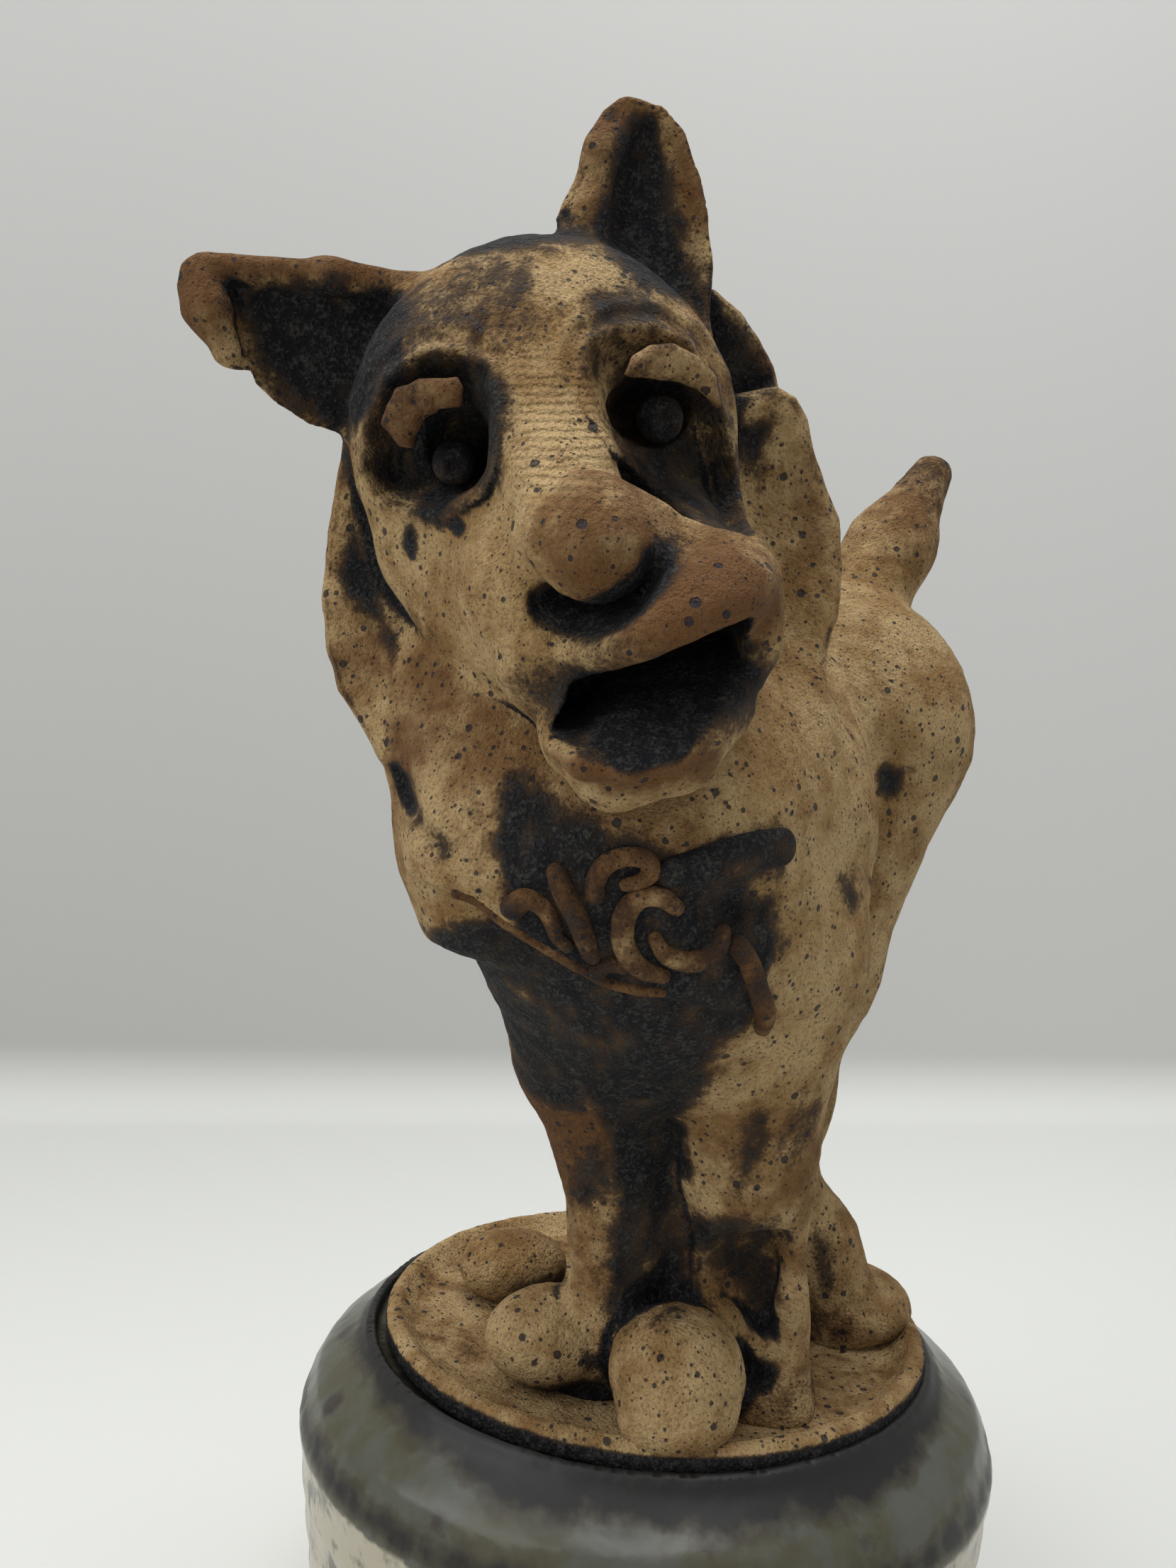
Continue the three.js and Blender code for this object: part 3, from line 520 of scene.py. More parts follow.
def meshed(grid, low, step):
    """Closed mesh, in millimetres, round the places where a grid is below zero."""
    solid = np.argwhere(grid < 0)
    first, last = solid.min(0) - 2, solid.max(0) + 3
    first = np.maximum(first, 0)
    grid = grid[first[0]:last[0], first[1]:last[1], first[2]:last[2]]
    low = low + first * step
    inside = grid < 0
    size = np.array(grid.shape)
    count = np.zeros(size - 1, np.int8)
    for c in CORNERS:
        count += inside[c[0]:size[0] - 1 + c[0], c[1]:size[1] - 1 + c[1], c[2]:size[2] - 1 + c[2]]
    cells = np.argwhere((count > 0) & (count < 8))
    number = np.full(count.shape, -1)
    number[tuple(cells.T)] = np.arange(len(cells))
    total, hits = np.zeros((len(cells), 3)), np.zeros(len(cells))
    values = [grid[tuple((cells + c).T)] for c in CORNERS]
    for a in range(8):
        for bit in (1, 2, 4):
            if a & bit:
                continue
            va, vb = values[a], values[a | bit]
            crossed = (va < 0) != (vb < 0)
            t = np.where(crossed, va / np.where(crossed, va - vb, 1), 0)
            spot = CORNERS[a] + t[:, None] * (CORNERS[a | bit] - CORNERS[a])
            total += spot * crossed[:, None]
            hits += crossed
    verts = low + (cells + total / hits[:, None]) * step
    faces = []
    for axis in range(3):
        u, v = (axis + 1) % 3, (axis + 2) % 3
        ahead, behind = [slice(None)] * 3, [slice(None)] * 3
        ahead[axis], behind[axis] = slice(1, None), slice(None, -1)
        a, b = inside[tuple(behind)], inside[tuple(ahead)]
        edges = np.argwhere(a != b)
        leaving = a[tuple(edges.T)]
        ring = []
        for du, dv in ((0, 0), (1, 0), (1, 1), (0, 1)):
            cell = edges.copy()
            cell[:, u] -= du
            cell[:, v] -= dv
            ring.append(number[tuple(cell.T)])
        quad = np.stack(ring, 1)
        faces.append(np.where(leaving[:, None], quad, quad[:, ::-1]))
    return verts, np.concatenate(faces)


def drawn_on(field, verts, step):
    """Points of a rough mesh moved onto the form itself."""
    for _ in range(2):
        value, slope = steepness(field, verts)
        move = value[:, None] * slope / np.maximum((slope * slope).sum(1), 0.2)[:, None]
        far = length(move)[:, None]
        verts = verts - move * np.minimum(1, 0.5 * step / np.maximum(far, 1e-9))
    return verts


TETRA = np.array([(1, 1, 1), (1, -1, -1), (-1, 1, -1), (-1, -1, 1)])


def steepness(field, verts, reach=0.08):
    """Value of a form at some points and the way it grows there."""
    slope = np.zeros_like(verts)
    value = np.zeros(len(verts))
    for way in TETRA:
        v = field(verts + way * reach)
        slope += v[:, None] * way
        value += v
    return value / 4, slope / (4 * reach)


def make_piece(name, verts, faces, **marks):
    """Object for one piece, standing in for the node of the same name."""
    mesh = bpy.data.meshes.new("clay_" + name)
    mesh.from_pydata((verts * MM).tolist(), [], faces.tolist())
    mesh.update()
    mesh.polygons.foreach_set("use_smooth", np.ones(len(mesh.polygons), bool))
    for mark, values in marks.items():
        layer = mesh.attributes.new(mark, "FLOAT", "POINT")
        layer.data.foreach_set("value", np.asarray(values, np.float32))
    mesh.materials.append(FINISHES[SLOT_OF[name]])
    piece = bpy.data.objects.new("clay_" + name, mesh)
    bpy.context.scene.collection.objects.link(piece)
    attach(piece, "root")
    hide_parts(name)


# Finishes

class Wash:
    """A value in a finish, with arithmetic that adds Math nodes."""

    def __init__(self, recipe, socket):
        self.recipe = recipe
        self.socket = socket

    def worked(self, operation, *terms):
        sockets = dict(enumerate((self, *terms)))
        return self.recipe.node("ShaderNodeMath", {"operation": operation}, sockets)

    def __add__(self, other):
        return self.worked("ADD", other)

    __radd__ = __add__

    def __sub__(self, other):
        return self.worked("SUBTRACT", other)

    def __rsub__(self, other):
        return self.worked("MULTIPLY_ADD", -1, other)

    def __mul__(self, other):
        return self.worked("MULTIPLY", other)

    __rmul__ = __mul__

    def fade(self, low, high):
        return self.recipe.node("ShaderNodeMapRange", {"interpolation_type": "SMOOTHSTEP"},
                                {"Value": self, "From Min": low, "From Max": high})

    def also(self, name):
        return Wash(self.recipe, self.socket.node.outputs[name])


class Recipe:
    """The nodes of one finish."""

    def __init__(self, tree):
        self.tree = tree
        self.tree.nodes.clear()

    def node(self, kind, settings, sockets, out=0):
        made = self.tree.nodes.new(kind)
        for key, value in settings.items():
            setattr(made, key, value)
        for key, value in sockets.items():
            if isinstance(value, Wash):
                self.tree.links.new(value.socket, made.inputs[key])
            else:
                made.inputs[key].default_value = value
        return Wash(self, made.outputs[out]) if made.outputs else None

    def place(self):
        return self.node("ShaderNodeTexCoord", {}, {}, "Object")

    def mark(self, name):
        return self.node("ShaderNodeAttribute", {"attribute_name": name}, {}, "Fac")

    def stretched(self, where, scale):
        return self.node("ShaderNodeVectorMath", {"operation": "MULTIPLY"}, {0: where, 1: scale})

    def lumps(self, where, size, detail=2.0, roughness=0.5):
        return self.node("ShaderNodeTexNoise", {}, {
            "Vector": where, "Scale": 1 / (size * MM), "Detail": detail, "Roughness": roughness}, "Fac")

    def cells(self, where, size):
        sockets = {"Vector": where, "Scale": 1 / (size * MM)}
        return self.node("ShaderNodeTexVoronoi", {}, sockets, "Distance")

    def mix(self, share, first, second):
        return self.node("ShaderNodeMix", {"data_type": "RGBA"}, {0: share, 6: first, 7: second}, 2)

    def bump(self, height, strength, depth):
        sockets = {"Strength": strength, "Distance": depth * MM, "Height": height}
        return self.node("ShaderNodeBump", {}, sockets)

    def surface(self, **sockets):
        sockets = {name.replace("_", " "): value for name, value in sockets.items()}
        shader = self.node("ShaderNodeBsdfPrincipled", {}, sockets)
        self.node("ShaderNodeOutputMaterial", {}, {"Surface": shader})


def finish(name):
    material = bpy.data.materials.new(name)
    material.use_nodes = True
    return material, Recipe(material.node_tree)


PALE_CLAY = (0.5, 0.35, 0.17, 1)
TAN_CLAY = (0.31, 0.185, 0.07, 1)
TOAST = (0.15, 0.07, 0.025, 1)
BURNT = (0.05, 0.026, 0.014, 1)
OXIDE = (0.006, 0.0065, 0.009, 1)
RUBBED = (0.032, 0.028, 0.025, 1)
DUSTY = (0.058, 0.054, 0.047, 1)
IRON = (0.018, 0.019, 0.026, 1)


def clay_finish(name):
    """Dry stoneware: pale to toasted clay, oxide that burns brown at its edges, and iron specks."""
    material, r = finish(name)
    where = r.place()
    patch = r.lumps(where, 9, 3)
    blotch = r.lumps(where, 3.4, 3, 0.6)
    fleck = r.lumps(where, 1.2, 4, 0.65)
    dust = r.lumps(where, 0.35, 3, 0.65)
    clay = r.mix((patch + (blotch - 0.5) * 0.8).fade(0.3, 0.7), PALE_CLAY, TAN_CLAY)
    toast = r.mark("toast") + (patch - 0.5) * 1.1 + (blotch - 0.5) * 0.8 + (fleck - 0.5) * 0.7
    clay = r.mix(toast.fade(0.05, 0.95), clay, TOAST)
    clay = r.mix(dust.fade(0.45, 0.72) * 0.6, clay, TOAST)
    stain = r.mark("stain") + (blotch - 0.5) * 0.6 + (fleck - 0.5) * 0.6 + (dust - 0.5) * 0.45
    clay = r.mix(stain.fade(0.12, 0.55) * 0.85, clay, BURNT)
    oxide = r.mix((fleck * 0.6 + dust * 0.6).fade(0.52, 0.85), OXIDE, RUBBED)
    oxide = r.mix((dust * 0.7 + fleck * 0.5).fade(0.57, 0.8), oxide, DUSTY)
    black = stain.fade(0.36, 0.8)
    clay = r.mix(black, clay, oxide)
    layers = []
    for size, share in ((1.8, 0.34), (0.9, 0.36), (0.5, 0.34)):
        reach = r.cells(where, size)
        tint = r.node("ShaderNodeSeparateColor", {}, {"Color": reach.also("Color")})
        layers.append((tint * share - reach - 0.06 + (dust - 0.5) * 0.1).fade(0.0, 0.06))
    speck = layers[0] + layers[1] + layers[2]
    clay = r.mix(speck * 0.85, clay, IRON)
    wrinkle = (r.mark("along") * 9 + blotch * 7 + fleck * 6).worked("SINE") * r.mark("lined")
    rough = 0.9 - speck * 0.2 - black * 0.12
    relief = dust * 0.8 + fleck * 1.1 - speck * 0.4 + wrinkle * 0.14
    r.surface(Base_Color=clay, Roughness=rough, Specular_IOR_Level=0.2, Normal=r.bump(relief, 1.0, 0.8))
    return material


GREY_GLAZE = (0.08, 0.083, 0.067, 1)
OLIVE_GLAZE = (0.066, 0.062, 0.036, 1)
MILKY_GLAZE = (0.4, 0.36, 0.27, 1)
IRON_SPOT = (0.03, 0.022, 0.018, 1)
BROWN_BREAK = (0.04, 0.035, 0.02, 1)
BLACK_BREAK = (0.011, 0.01, 0.0095, 1)


def glaze_finish():
    """Ash glaze over iron: grey-green where thick, brown and black where it runs thin over edges."""
    material, r = finish("ash_glaze")
    where = r.place()
    cloud = r.lumps(where, 9, 3, 0.55)
    mottle = r.lumps(where, 2.6, 4, 0.6)
    run = r.lumps(r.stretched(where, (1, 1, 0.4)), 1.6, 3, 0.6)
    spot = r.cells(where, 9)
    thin = r.mark("thin") + (cloud - 0.5) * 0.9 + (mottle - 0.5) * 0.9 + (run - 0.5) * 0.5
    glaze = r.mix((cloud + (mottle - 0.5) * 0.5).fade(0.35, 0.65), GREY_GLAZE, OLIVE_GLAZE)
    milk = (r.mark("milky") + (mottle - 0.5) * 1.6 + (cloud - 0.5)).fade(0.4, 0.8)
    glaze = r.mix(milk, glaze, MILKY_GLAZE)
    glaze = r.mix((0.22 - spot + (mottle - 0.5) * 0.3).fade(0, 0.12) * 0.85, glaze, IRON_SPOT)
    glaze = r.mix(thin.fade(0.2, 0.6) * 0.85, glaze, BROWN_BREAK)
    glaze = r.mix(thin.fade(0.5, 0.95), glaze, BLACK_BREAK)
    rough = 0.26 + thin.fade(0.3, 0.9) * 0.2
    skin = r.bump(cloud + mottle * 0.3, 0.3, 0.3)
    r.surface(Base_Color=glaze, Roughness=rough, Specular_IOR_Level=0.35, Normal=skin)
    return material


FINISHES = {name: clay_finish(name) for name in ("bare_clay", "toasted_clay", "stained_clay")}
FINISHES["ash_glaze"] = glaze_finish()
SLOT_OF = {sub["node"]: sub["material_slot"] for sub in frame["record"]["subparts"]}


# Oxide wash, painted shade and toasting, as listed

RIGHT_GOGGLE = [
    (-17.6, -2.7), (-17.2, 0.9), (-15.8, 3.6), (-13.4, 6.1), (-10.1, 7.2), (-7, 7.2), (-4.9, 5.5),
    (-3.9, 2.5), (-3.9, 0), (-5, -3.6), (-7.6, -5.6), (-10.2, -6.7), (-12.7, -6.3), (-14.8, -5.2),
    (-16.6, -4),
]
LEFT_GOGGLE = [
    (3.8, 3.6), (4.6, 6.6), (7.5, 8), (11.5, 7.2), (14.3, 5.4), (16.4, 1.2), (17.2, -2.9),
    (16.8, -9.4), (13.5, -9.2), (10, -6.9), (7, -4.2), (4.6, 0),
]
LEFT_BROW = [
    (2.2, 4.8), (2, 7.9), (2.4, 10.5), (4, 12.2), (6.6, 13), (9.8, 11.8), (12.8, 9), (13.8, 6.6),
    (11.4, 7.5), (9.3, 8.4), (6.8, 8.4), (5, 6.5), (4, 4),
]
RIGHT_BROW = [
    (-14.4, 8.7), (-13.6, 11.6), (-10.9, 13), (-8.1, 14.4), (-5.1, 15.6), (-1.7, 15.6),
    (-1.4, 12.3), (-1.8, 9.1), (-3.6, 7.5), (-6.2, 7.6), (-8.3, 8.2), (-10.9, 8.2),
]
LIP_PIT = [(-3.2, -16.5), (-1.4, -17.4), (1, -19.6), (-0.3, -20.8), (-2, -19.6)]
RUFF_CREASE = [
    (-20, -5.2), (-18.9, -3.8), (-18.1, -9.4), (-16.9, -13.7), (-14.3, -19.6), (-15.7, -19.2),
    (-18.1, -15.8), (-19.5, -15.1), (-20.4, -12.2),
]
RUFF_CORNER = [(17, 1.5), (21.7, 2.2), (20.4, -0.6), (19.8, -4.1), (18.6, -2.7)]
CREST_PANEL = [(14, 12.5), (18.7, 10.9), (21.2, 6), (21.3, 3.8), (16, 4), (14, 8.8)]
HEAD_PANELS = [
    (UPRIGHT_PANEL, -22, 40, 1.0), (FLOPPED_PANEL, -22, 40, 1.0), (RIGHT_GOGGLE, -3, 40, 0.86),
    (LEFT_GOGGLE, -11, 14, 0.76), (LEFT_BROW, -4, 40, 0.66), (RIGHT_BROW, -8, 40, 0.56),
    (LIP_PIT, 14, 40, 0.6), (RUFF_CREASE, -12, 40, 0.85), (RUFF_CORNER, -14, 40, 0.8),
    (CREST_PANEL, -20, 40, 0.85),
]
HEAD_WASH = [
    ((-12.8, -8.5, 7), (0.8, 1.6, 4), 0.9), ((-8.2, -7, 10), (0.7, 0.7, 4), 1.0),
    ((-4, 17, -7), (9, 3, 10), 0.85), ((9, 14.5, -5), (6, 3.6, 7), 0.95),
    ((8, -19, 18), (9.5, 4, 8), 1.0), ((-12, 9, 0), (4, 4, 6), 0.6), ((-8, 9, 6), (9, 7, 9), 0.25),
    ((5, -15.5, 25), (5, 2, 5), 0.25),
]
HEAD_TOAST_AND_SHADE = [
    ((3.2, -7.3, 22), (6, 5.5, 7), 0.5), ((10.5, -12, 24), (7.5, 4.6, 9), 0.7),
    ((7, -23.8, 27), (9, 2.2, 5), 0.7), ((-31.5, 11, -2), (3, 5, 6), 0.7),
    ((-22, 15.2, -4), (11, 1.6, 5), 0.7), ((5, 26, -10), (3, 8, 6), 0.55),
    ((13.5, 24, -11), (2, 8, 5), 0.6), ((-17, -20, -3), (5, 3, 6), 0.5),
    ((21, 8, -12), (2, 5, 5), 0.55), ((26, -5, -8), (2.5, 6, 6), 0.4),
    # The next spot is painted shade on the slope under the right cheek, which faces down
    ((-13, -12, 3), (4, 8, 6), 0.35),
]
BIB_STAIN = [
    (-18.4, 65.6), (-15.5, 64.8), (-13.2, 62.4), (-8.8, 61.2), (-2.6, 59.8), (4.3, 61.9),
    (6.5, 60.7), (5.9, 58.9), (2.8, 56.9), (4.9, 55.8), (6, 52.2), (5.1, 48.5), (5.6, 44.5),
    (3, 41.5), (0.4, 34.3), (-14.7, 32), (-20, 34), (-21, 43.4), (-23.5, 47), (-27, 50.4),
    (-21.1, 52.5), (-17.7, 52.5), (-18.2, 57.6), (-19.8, 59.3), (-19.3, 62),
]
NECK_BLOT = [(-22.7, 62.2), (-21.5, 62.8), (-20.2, 62), (-21.2, 61.1)]
# Painted shade in the valley between the dog's left shoulder and its flank
FLANK_VALLEY_SHADE = [(20.7, 68.3), (22, 69.2), (24.8, 68.6), (23.7, 66.5), (22.2, 64.8), (21, 65.7)]
SHOULDER_BLOT = [(12.6, 57.3), (14.5, 57.5), (15.3, 55.1), (14.1, 54.3), (13.1, 55.6)]
LEG_STAIN = [
    (-18.6, 46), (-18.4, 37.6), (-17, 33.6), (-14.3, 32), (-13.1, 34.2), (-11.3, 33.6),
    (-9.1, 32.6), (-7.1, 28.6), (-6.4, 23.6), (-7.4, 15), (-7.3, 9.9), (-3.5, 11.7), (1.4, 12.6),
    (-1.2, 15.1), (-0.2, 19.8), (1, 21.6), (-0.2, 24.6), (-0.1, 28.7), (0.4, 33), (1.7, 37.2),
    (1.2, 41.8), (2.9, 47),
]
SHIN_BLOT = [(-11.2, 28.4), (-8.2, 29.4), (-7, 24.4), (-8, 20.4), (-10.8, 20.6)]
# Painted shade in the hollow of the front left leg, above its brace
RECESS_SHADE = [
    (-0.2, 19.8), (2.3, 22.2), (10.4, 22.1), (11.9, 11.6), (9.4, 9.9), (5.4, 12.6), (1.6, 16),
]
LEG_STREAK = [
    (6.3, 34.1), (7.6, 34.2), (8.5, 30.3), (7.9, 28.4), (6.5, 25.2), (5.6, 23.6), (4.8, 24.6),
    (5.1, 29.3),
]
LEG_SHADE = [(9.1, 34.2), (11.3, 36.8), (13.6, 33.6), (12.5, 28.7), (10.3, 26.8), (8.5, 29.5)]
# Painted shade where the lower hind left leg has a hollow on its side
HIND_HOLLOW_SHADE = [(18, 14.7), (19.5, 12.5), (21.4, 9.5), (19.9, 6.9), (18.3, 9.1)]
BODY_PANELS = [
    (BIB_STAIN, -60, -24, 0.9), (NECK_FOLD, -60, -20, 0.7), (NECK_BLOT, -60, -20, 0.6),
    (FLANK_VALLEY_SHADE, -30, -6, 0.9), (SHOULDER_BLOT, -60, -20, 0.85), (LEG_STAIN, -60, -14, 0.84),
    (SHIN_BLOT, -60, -16, 0.82), (RECESS_SHADE, -60, -16, 0.72), (LEG_STREAK, -60, -18, 0.7),
    (LEG_SHADE, -60, -16, 0.55), (HIND_HOLLOW_SHADE, -20, 8, 0.8),
]
# Dark wash in spots; those near the floor round (12, -2, 3), (-6, -8, 2) and (4, -20, 0), and the one
# between the front legs at (9.5, -12, 16), are painted shade
BODY_WASH_AND_SHADE = [
    ((3, -22, 31), (8, 8, 9), 0.22), ((19.5, 27, 107), (6, 6, 8), 0.3),
    ((12, -2, 3), (12, 12, 3.5), 0.7), ((-6, -8, 2), (9, 8, 3), 0.7),
    ((4, -20, 0), (7, 7, 2.6), 0.95), ((13.5, -18, 30.5), (1.6, 3, 1.6), 0.8),
    ((13.5, -18, 26), (1.5, 3, 1.5), 0.8), ((9.5, -12, 16), (4, 6, 20), 0.95),
]
# Stain taken back in three small spots below the bulge of the bib
BODY_LIGHTER_SPOTS = [
    ((7.3, -37.8, 44.6), (2.6, 3, 1.8), 0.2), ((10, -36, 42), (2, 3, 5), 0.1),
    ((14, -36, 41), (1.6, 3, 6), 0.12),
]
HEAD_PALE = [
    ((-3, -12, 15), (5, 10, 9), 0.5), ((0, 0, 12), (5, 6, 6), 0.2), ((-7, -12, 8), (4, 6, 6), 0.4),
    ((-13, -10, 3), (5, 7, 6), 0.4), ((0, 9, 8), (3, 6, 7), 0.3),
]
BODY_PALE = [
    ((27, -22, 58), (9, 14, 18), 0.35), ((26, 12, 78), (12, 16, 14), 0.55),
    ((14.6, -20, 7), (8, 8, 8), 0.45), ((-8, -16, 5), (14, 12, 6), 0.45),
]
BODY_TOAST = [
    ((1, -46, 70), (9, 6, 6), 0.35), ((3, -22, 31), (8, 8, 9), 0.8),
    ((10, -12, 16), (16, 14, 22), 0.3), ((14.6, -19.6, 8), (9, 9, 9), 0.2),
    ((-3, -20, 5), (9, 9, 7), 0.25), ((-17, -6, 4), (9, 8, 6), 0.25),
    ((21, -11, 6), (6, 6, 9), 0.3), ((-2, -46, 67), (7, 5, 4), 0.6),
    ((18, 25, 102), (9, 9, 12), 0.35), ((16, -30, 40), (9, 12, 10), 0.3),
    ((14, -44, 62), (14, 8, 6), 0.3),
]


def brushed(p, spots):
    """How much of the wash, toasting and painted shade held in a list of spots lies at each place."""
    total = np.zeros(len(p))
    for centre, radii, strength in spots:
        far = length((p - np.array(centre)) / np.array(radii))
        total = np.maximum(total, strength * ease(1.6, 0.4, far))
    return total


def painted(u, v, w, panels):
    """Wash brushed inside outlines, and painted shade in some of them, each from one depth to another,
    with ragged edges.
    """
    spots = np.stack([u, v, w], 1)
    ragged = 0.7 * grain(spots, 3.2, 10) + 0.5 * grain(spots, 1.4, 11) + 0.3 * grain(spots, 0.7, 12)
    total = np.zeros(len(u))
    for corners, low, high, strength in panels:
        reach = ease(low - 3, low, w) * ease(high + 3, high, w)
        total = np.maximum(total, strength * reach * ease(1.7, -1.7, outline(u, v, corners) + ragged))
    streaks = grain(spots * np.array([1, 0.3, 1]), 1.5, 13)
    return total * (0.88 + 0.26 * streaks)


def head_marks(verts, shut):
    q = in_head(verts - FEET)
    x, y, z = q.T
    stain = np.maximum(0.06 + brushed(q, HEAD_WASH), 0.9 * ease(0.25, 0.65, shut))
    stain = np.maximum(stain, painted(x, y, z, HEAD_PANELS))
    # Oxide wash and painted shade in the hollow under the nose's overhang, darkest against the nose
    stain = np.maximum(stain, 1.5 * under_nose(q) * ease(12, 6, x) * ease(0.1, 0.5, nose(q)))
    stain = np.maximum(stain, ease(0.2, -0.6, mouth(q + np.array([0, 0, 2.5]))))
    bridge = ease(5, 2.5, np.abs(x - 0.12 * (4 - y))) * ease(-6, -3, y) * ease(8, 4, y) * ease(3, 6, z)
    toast = 0.22 + brushed(q, HEAD_TOAST_AND_SHADE) - brushed(q, HEAD_PALE)
    return {"stain": stain, "toast": toast, "along": y, "lined": bridge}


def body_marks(verts, shut):
    b = verts - FEET
    across, depth, rise = (b @ FRONT.T).T
    # Dark wash and oxide in the hollows, with painted shade under the body and in some recesses
    stain = np.maximum(0.06 + brushed(b, BODY_WASH_AND_SHADE), 0.9 * ease(0.22, 0.6, shut))
    stain = np.maximum(stain, painted(across, rise, depth, BODY_PANELS)) - brushed(b, BODY_LIGHTER_SPOTS)
    return {"stain": stain, "toast": 0.2 + brushed(b, BODY_TOAST) - brushed(b, BODY_PALE)}


# Making the pieces

def weathered(verts, skin, depth=0.2):
    """Points moved out or in by the small lumps that fingers and tools leave, with their normals."""
    _, slope = steepness(skin, verts)
    normal = slope / np.maximum(length(slope), 1e-6)[:, None]
    lump = grain(verts, 5.5, 1) * 0.5 + grain(verts, 2.2, 2) * 0.4 + grain(verts, 1.1, 3) * 0.4
    return verts + normal * (lump * depth)[:, None], normal


def hollow(verts, normal, skin):
    """How far a place lies in a hollow, from 0 in the open to 1 deep in."""
    shut = np.zeros(len(verts))
    for reach in (1.2, 2.6, 5.0):
        shut += np.clip(1 - skin(verts + normal * reach) / reach, 0, 1) / 3
    return shut


HEAD_PIECES = [
    "cranium", "muzzle", "lower_jaw", "nose", "ear_left", "ear_right", "crest", "ruff_left",
    "ruff_right",
]
BODY_PIECES = ["neck_and_chest", "torso", *HAUNCHES, *LEGS, *PAWS, "tail"]


def sculpt(whole, names, marks, low, high, step):
    """Pieces of the head or the body, cut from one skin, with their stain and toast."""
    low, grids = sampled(whole, names, np.array(low, float), np.array(high, float), step)
    skin = lambda p: whole(p)[0]
    for name in names:
        verts, faces = meshed(grids.pop(name), low, step)
        verts = drawn_on(lambda p: own_piece(name, *whole(p)), verts, step)
        verts, normal = weathered(verts, skin)
        make_piece(name, verts, faces, **marks(verts, hollow(verts, normal, skin)))


def roll_out(name, field, low, high, step, stain, toast):
    """One small piece of clay made from its own form."""
    low, high = np.array(low, float) - 1, np.array(high, float) + 1
    count = np.ceil((high - low) / step).astype(int) + 1
    spots = np.stack(np.meshgrid(*[np.arange(n) for n in count], indexing="ij"), -1).reshape(-1, 3)
    grid = field(low + spots * step).reshape(tuple(count))
    verts, faces = meshed(grid, low, step)
    verts, _ = weathered(drawn_on(field, verts, step), field, 0.07)
    uneven = grain(verts, 2.5, 5)
    make_piece(name, verts, faces, stain=stain + 0.25 * uneven, toast=toast + 0.15 * uneven)


sculpt(dog_head, HEAD_PIECES, head_marks, (-40, -80, STAND + 60), (45, -5, STAND + 135), FINE)
sculpt(dog_body, BODY_PIECES, body_marks, (-28, -58, STAND - 2), (38, 36, STAND + 114), BODY_FINE)

# Eyes and lids

def from_head(points):
    """Places given in the head's frame, as places on the whole object."""
    return np.array(points, float) @ HEAD.T + HEAD_AT + FEET


# Each lid: its outline, the part of it that is rooted in the brow, and how it lies, leans and tilts
LIDS = {
    "eyelid_right": (
        [(-14.5, 1.1), (-14.1, 2.7), (-12.9, 4.1), (-10.9, 4.9), (-7.7, 4.9), (-7.1, 4.2), (-7.6, 2.5),
         (-9.3, 2.4), (-10.8, 1.6), (-11.5, 0.5), (-12, -0.6), (-13.1, -0.4), (-13.8, 0.5)],
        [(-14.2, 1.2), (-13.9, 2.6), (-12.8, 3.9), (-10.8, 4.7), (-8, 4.7), (-8, 3.3), (-10.4, 3),
         (-12.2, 2), (-12.9, 0.8)],
        (8.4, 0.42, 0.3)),
    "eyelid_left": (
        [(5.6, 4.9), (6.2, 6.3), (7.7, 7.3), (9.8, 7.5), (11.8, 6.6), (13.5, 4.9), (14.2, 2.3),
         (13.4, 2.7), (12, 4), (10.3, 4.6), (8.1, 4.7)],
        [(6.2, 5.2), (6.7, 6.2), (7.9, 7), (9.7, 7.2), (11.6, 6.4), (13.2, 4.8), (13.6, 3.6),
         (11.8, 5), (9.8, 5.6), (7.8, 5.4)],
        (8.4, -0.42, 0.25)),
}
LID_TOAST = {"eyelid_right": 0.85, "eyelid_left": 0.6}
EYES = {"eye_right": ((-8.7, -1.9, 5.4), 1.9), "eye_left": ((9.1, 1.7, 4.4), 2.1)}
SMALL = 0.28

for name, (corners, root, (lie, lean, tilt)) in LIDS.items():
    middle = np.mean(corners, 0)

    def lid(p):
        q = in_head(p - FEET)
        ragged = q + 0.2 * np.stack([grain(q, 1.3, 30), grain(q, 1.3, 31), np.zeros(len(q))], 1)
        depth = lie + lean * (q[:, 0] - middle[0]) + tilt * (q[:, 1] - middle[1])
        flap = leaf(ragged, corners, depth, 2.8, 0, 1.1)
        return lute(flap, leaf(ragged, root, depth - 4, 7, 0, 0.8), 0.4)

    spots = from_head([(u, v, w) for u, v in corners for w in (-1, 12)])
    roll_out(name, lid, spots.min(0) - 1, spots.max(0) + 1, SMALL, 0.22, LID_TOAST[name])
for name, (centre, radius) in EYES.items():
    offsets = np.array([(0, 0, 0), (0.3, -0.3, radius), (0, -0.8, -7)])
    spot, pupil, back = from_head(np.array(centre) + offsets)
    low, high = np.minimum(spot, back) - radius, np.maximum(spot, back) + radius

    def eye(p):
        ball = press(pellet(p, spot, (radius,) * 3), pellet(p, pupil, (0.8, 0.8, 1)), 0.4)
        return lute(ball, coil(p, [spot, back], [0.7 * radius, radius]), 0.4)

    roll_out(name, eye, low, high, SMALL, 0.85, 0.2)

# Curls, strap and edge of the bib, rolled out and pressed onto the chest

def on_chest(spots, lift):
    """Places on the chest given by turn and height, lifted off its skin."""
    placed = []
    for degrees, rise in spots:
        x, y, _ = chest_middle(rise)
        way = np.array([math.sin(math.radians(degrees)), -math.cos(math.radians(degrees)), 0])
        line = np.array([x, y, rise]) + np.arange(6, 30, 0.05)[:, None] * way
        out = np.argmax(body_skin(line, body_parts(line)) > 0)
        placed.append(line[out] + way * lift + FEET)
    return np.array(placed)


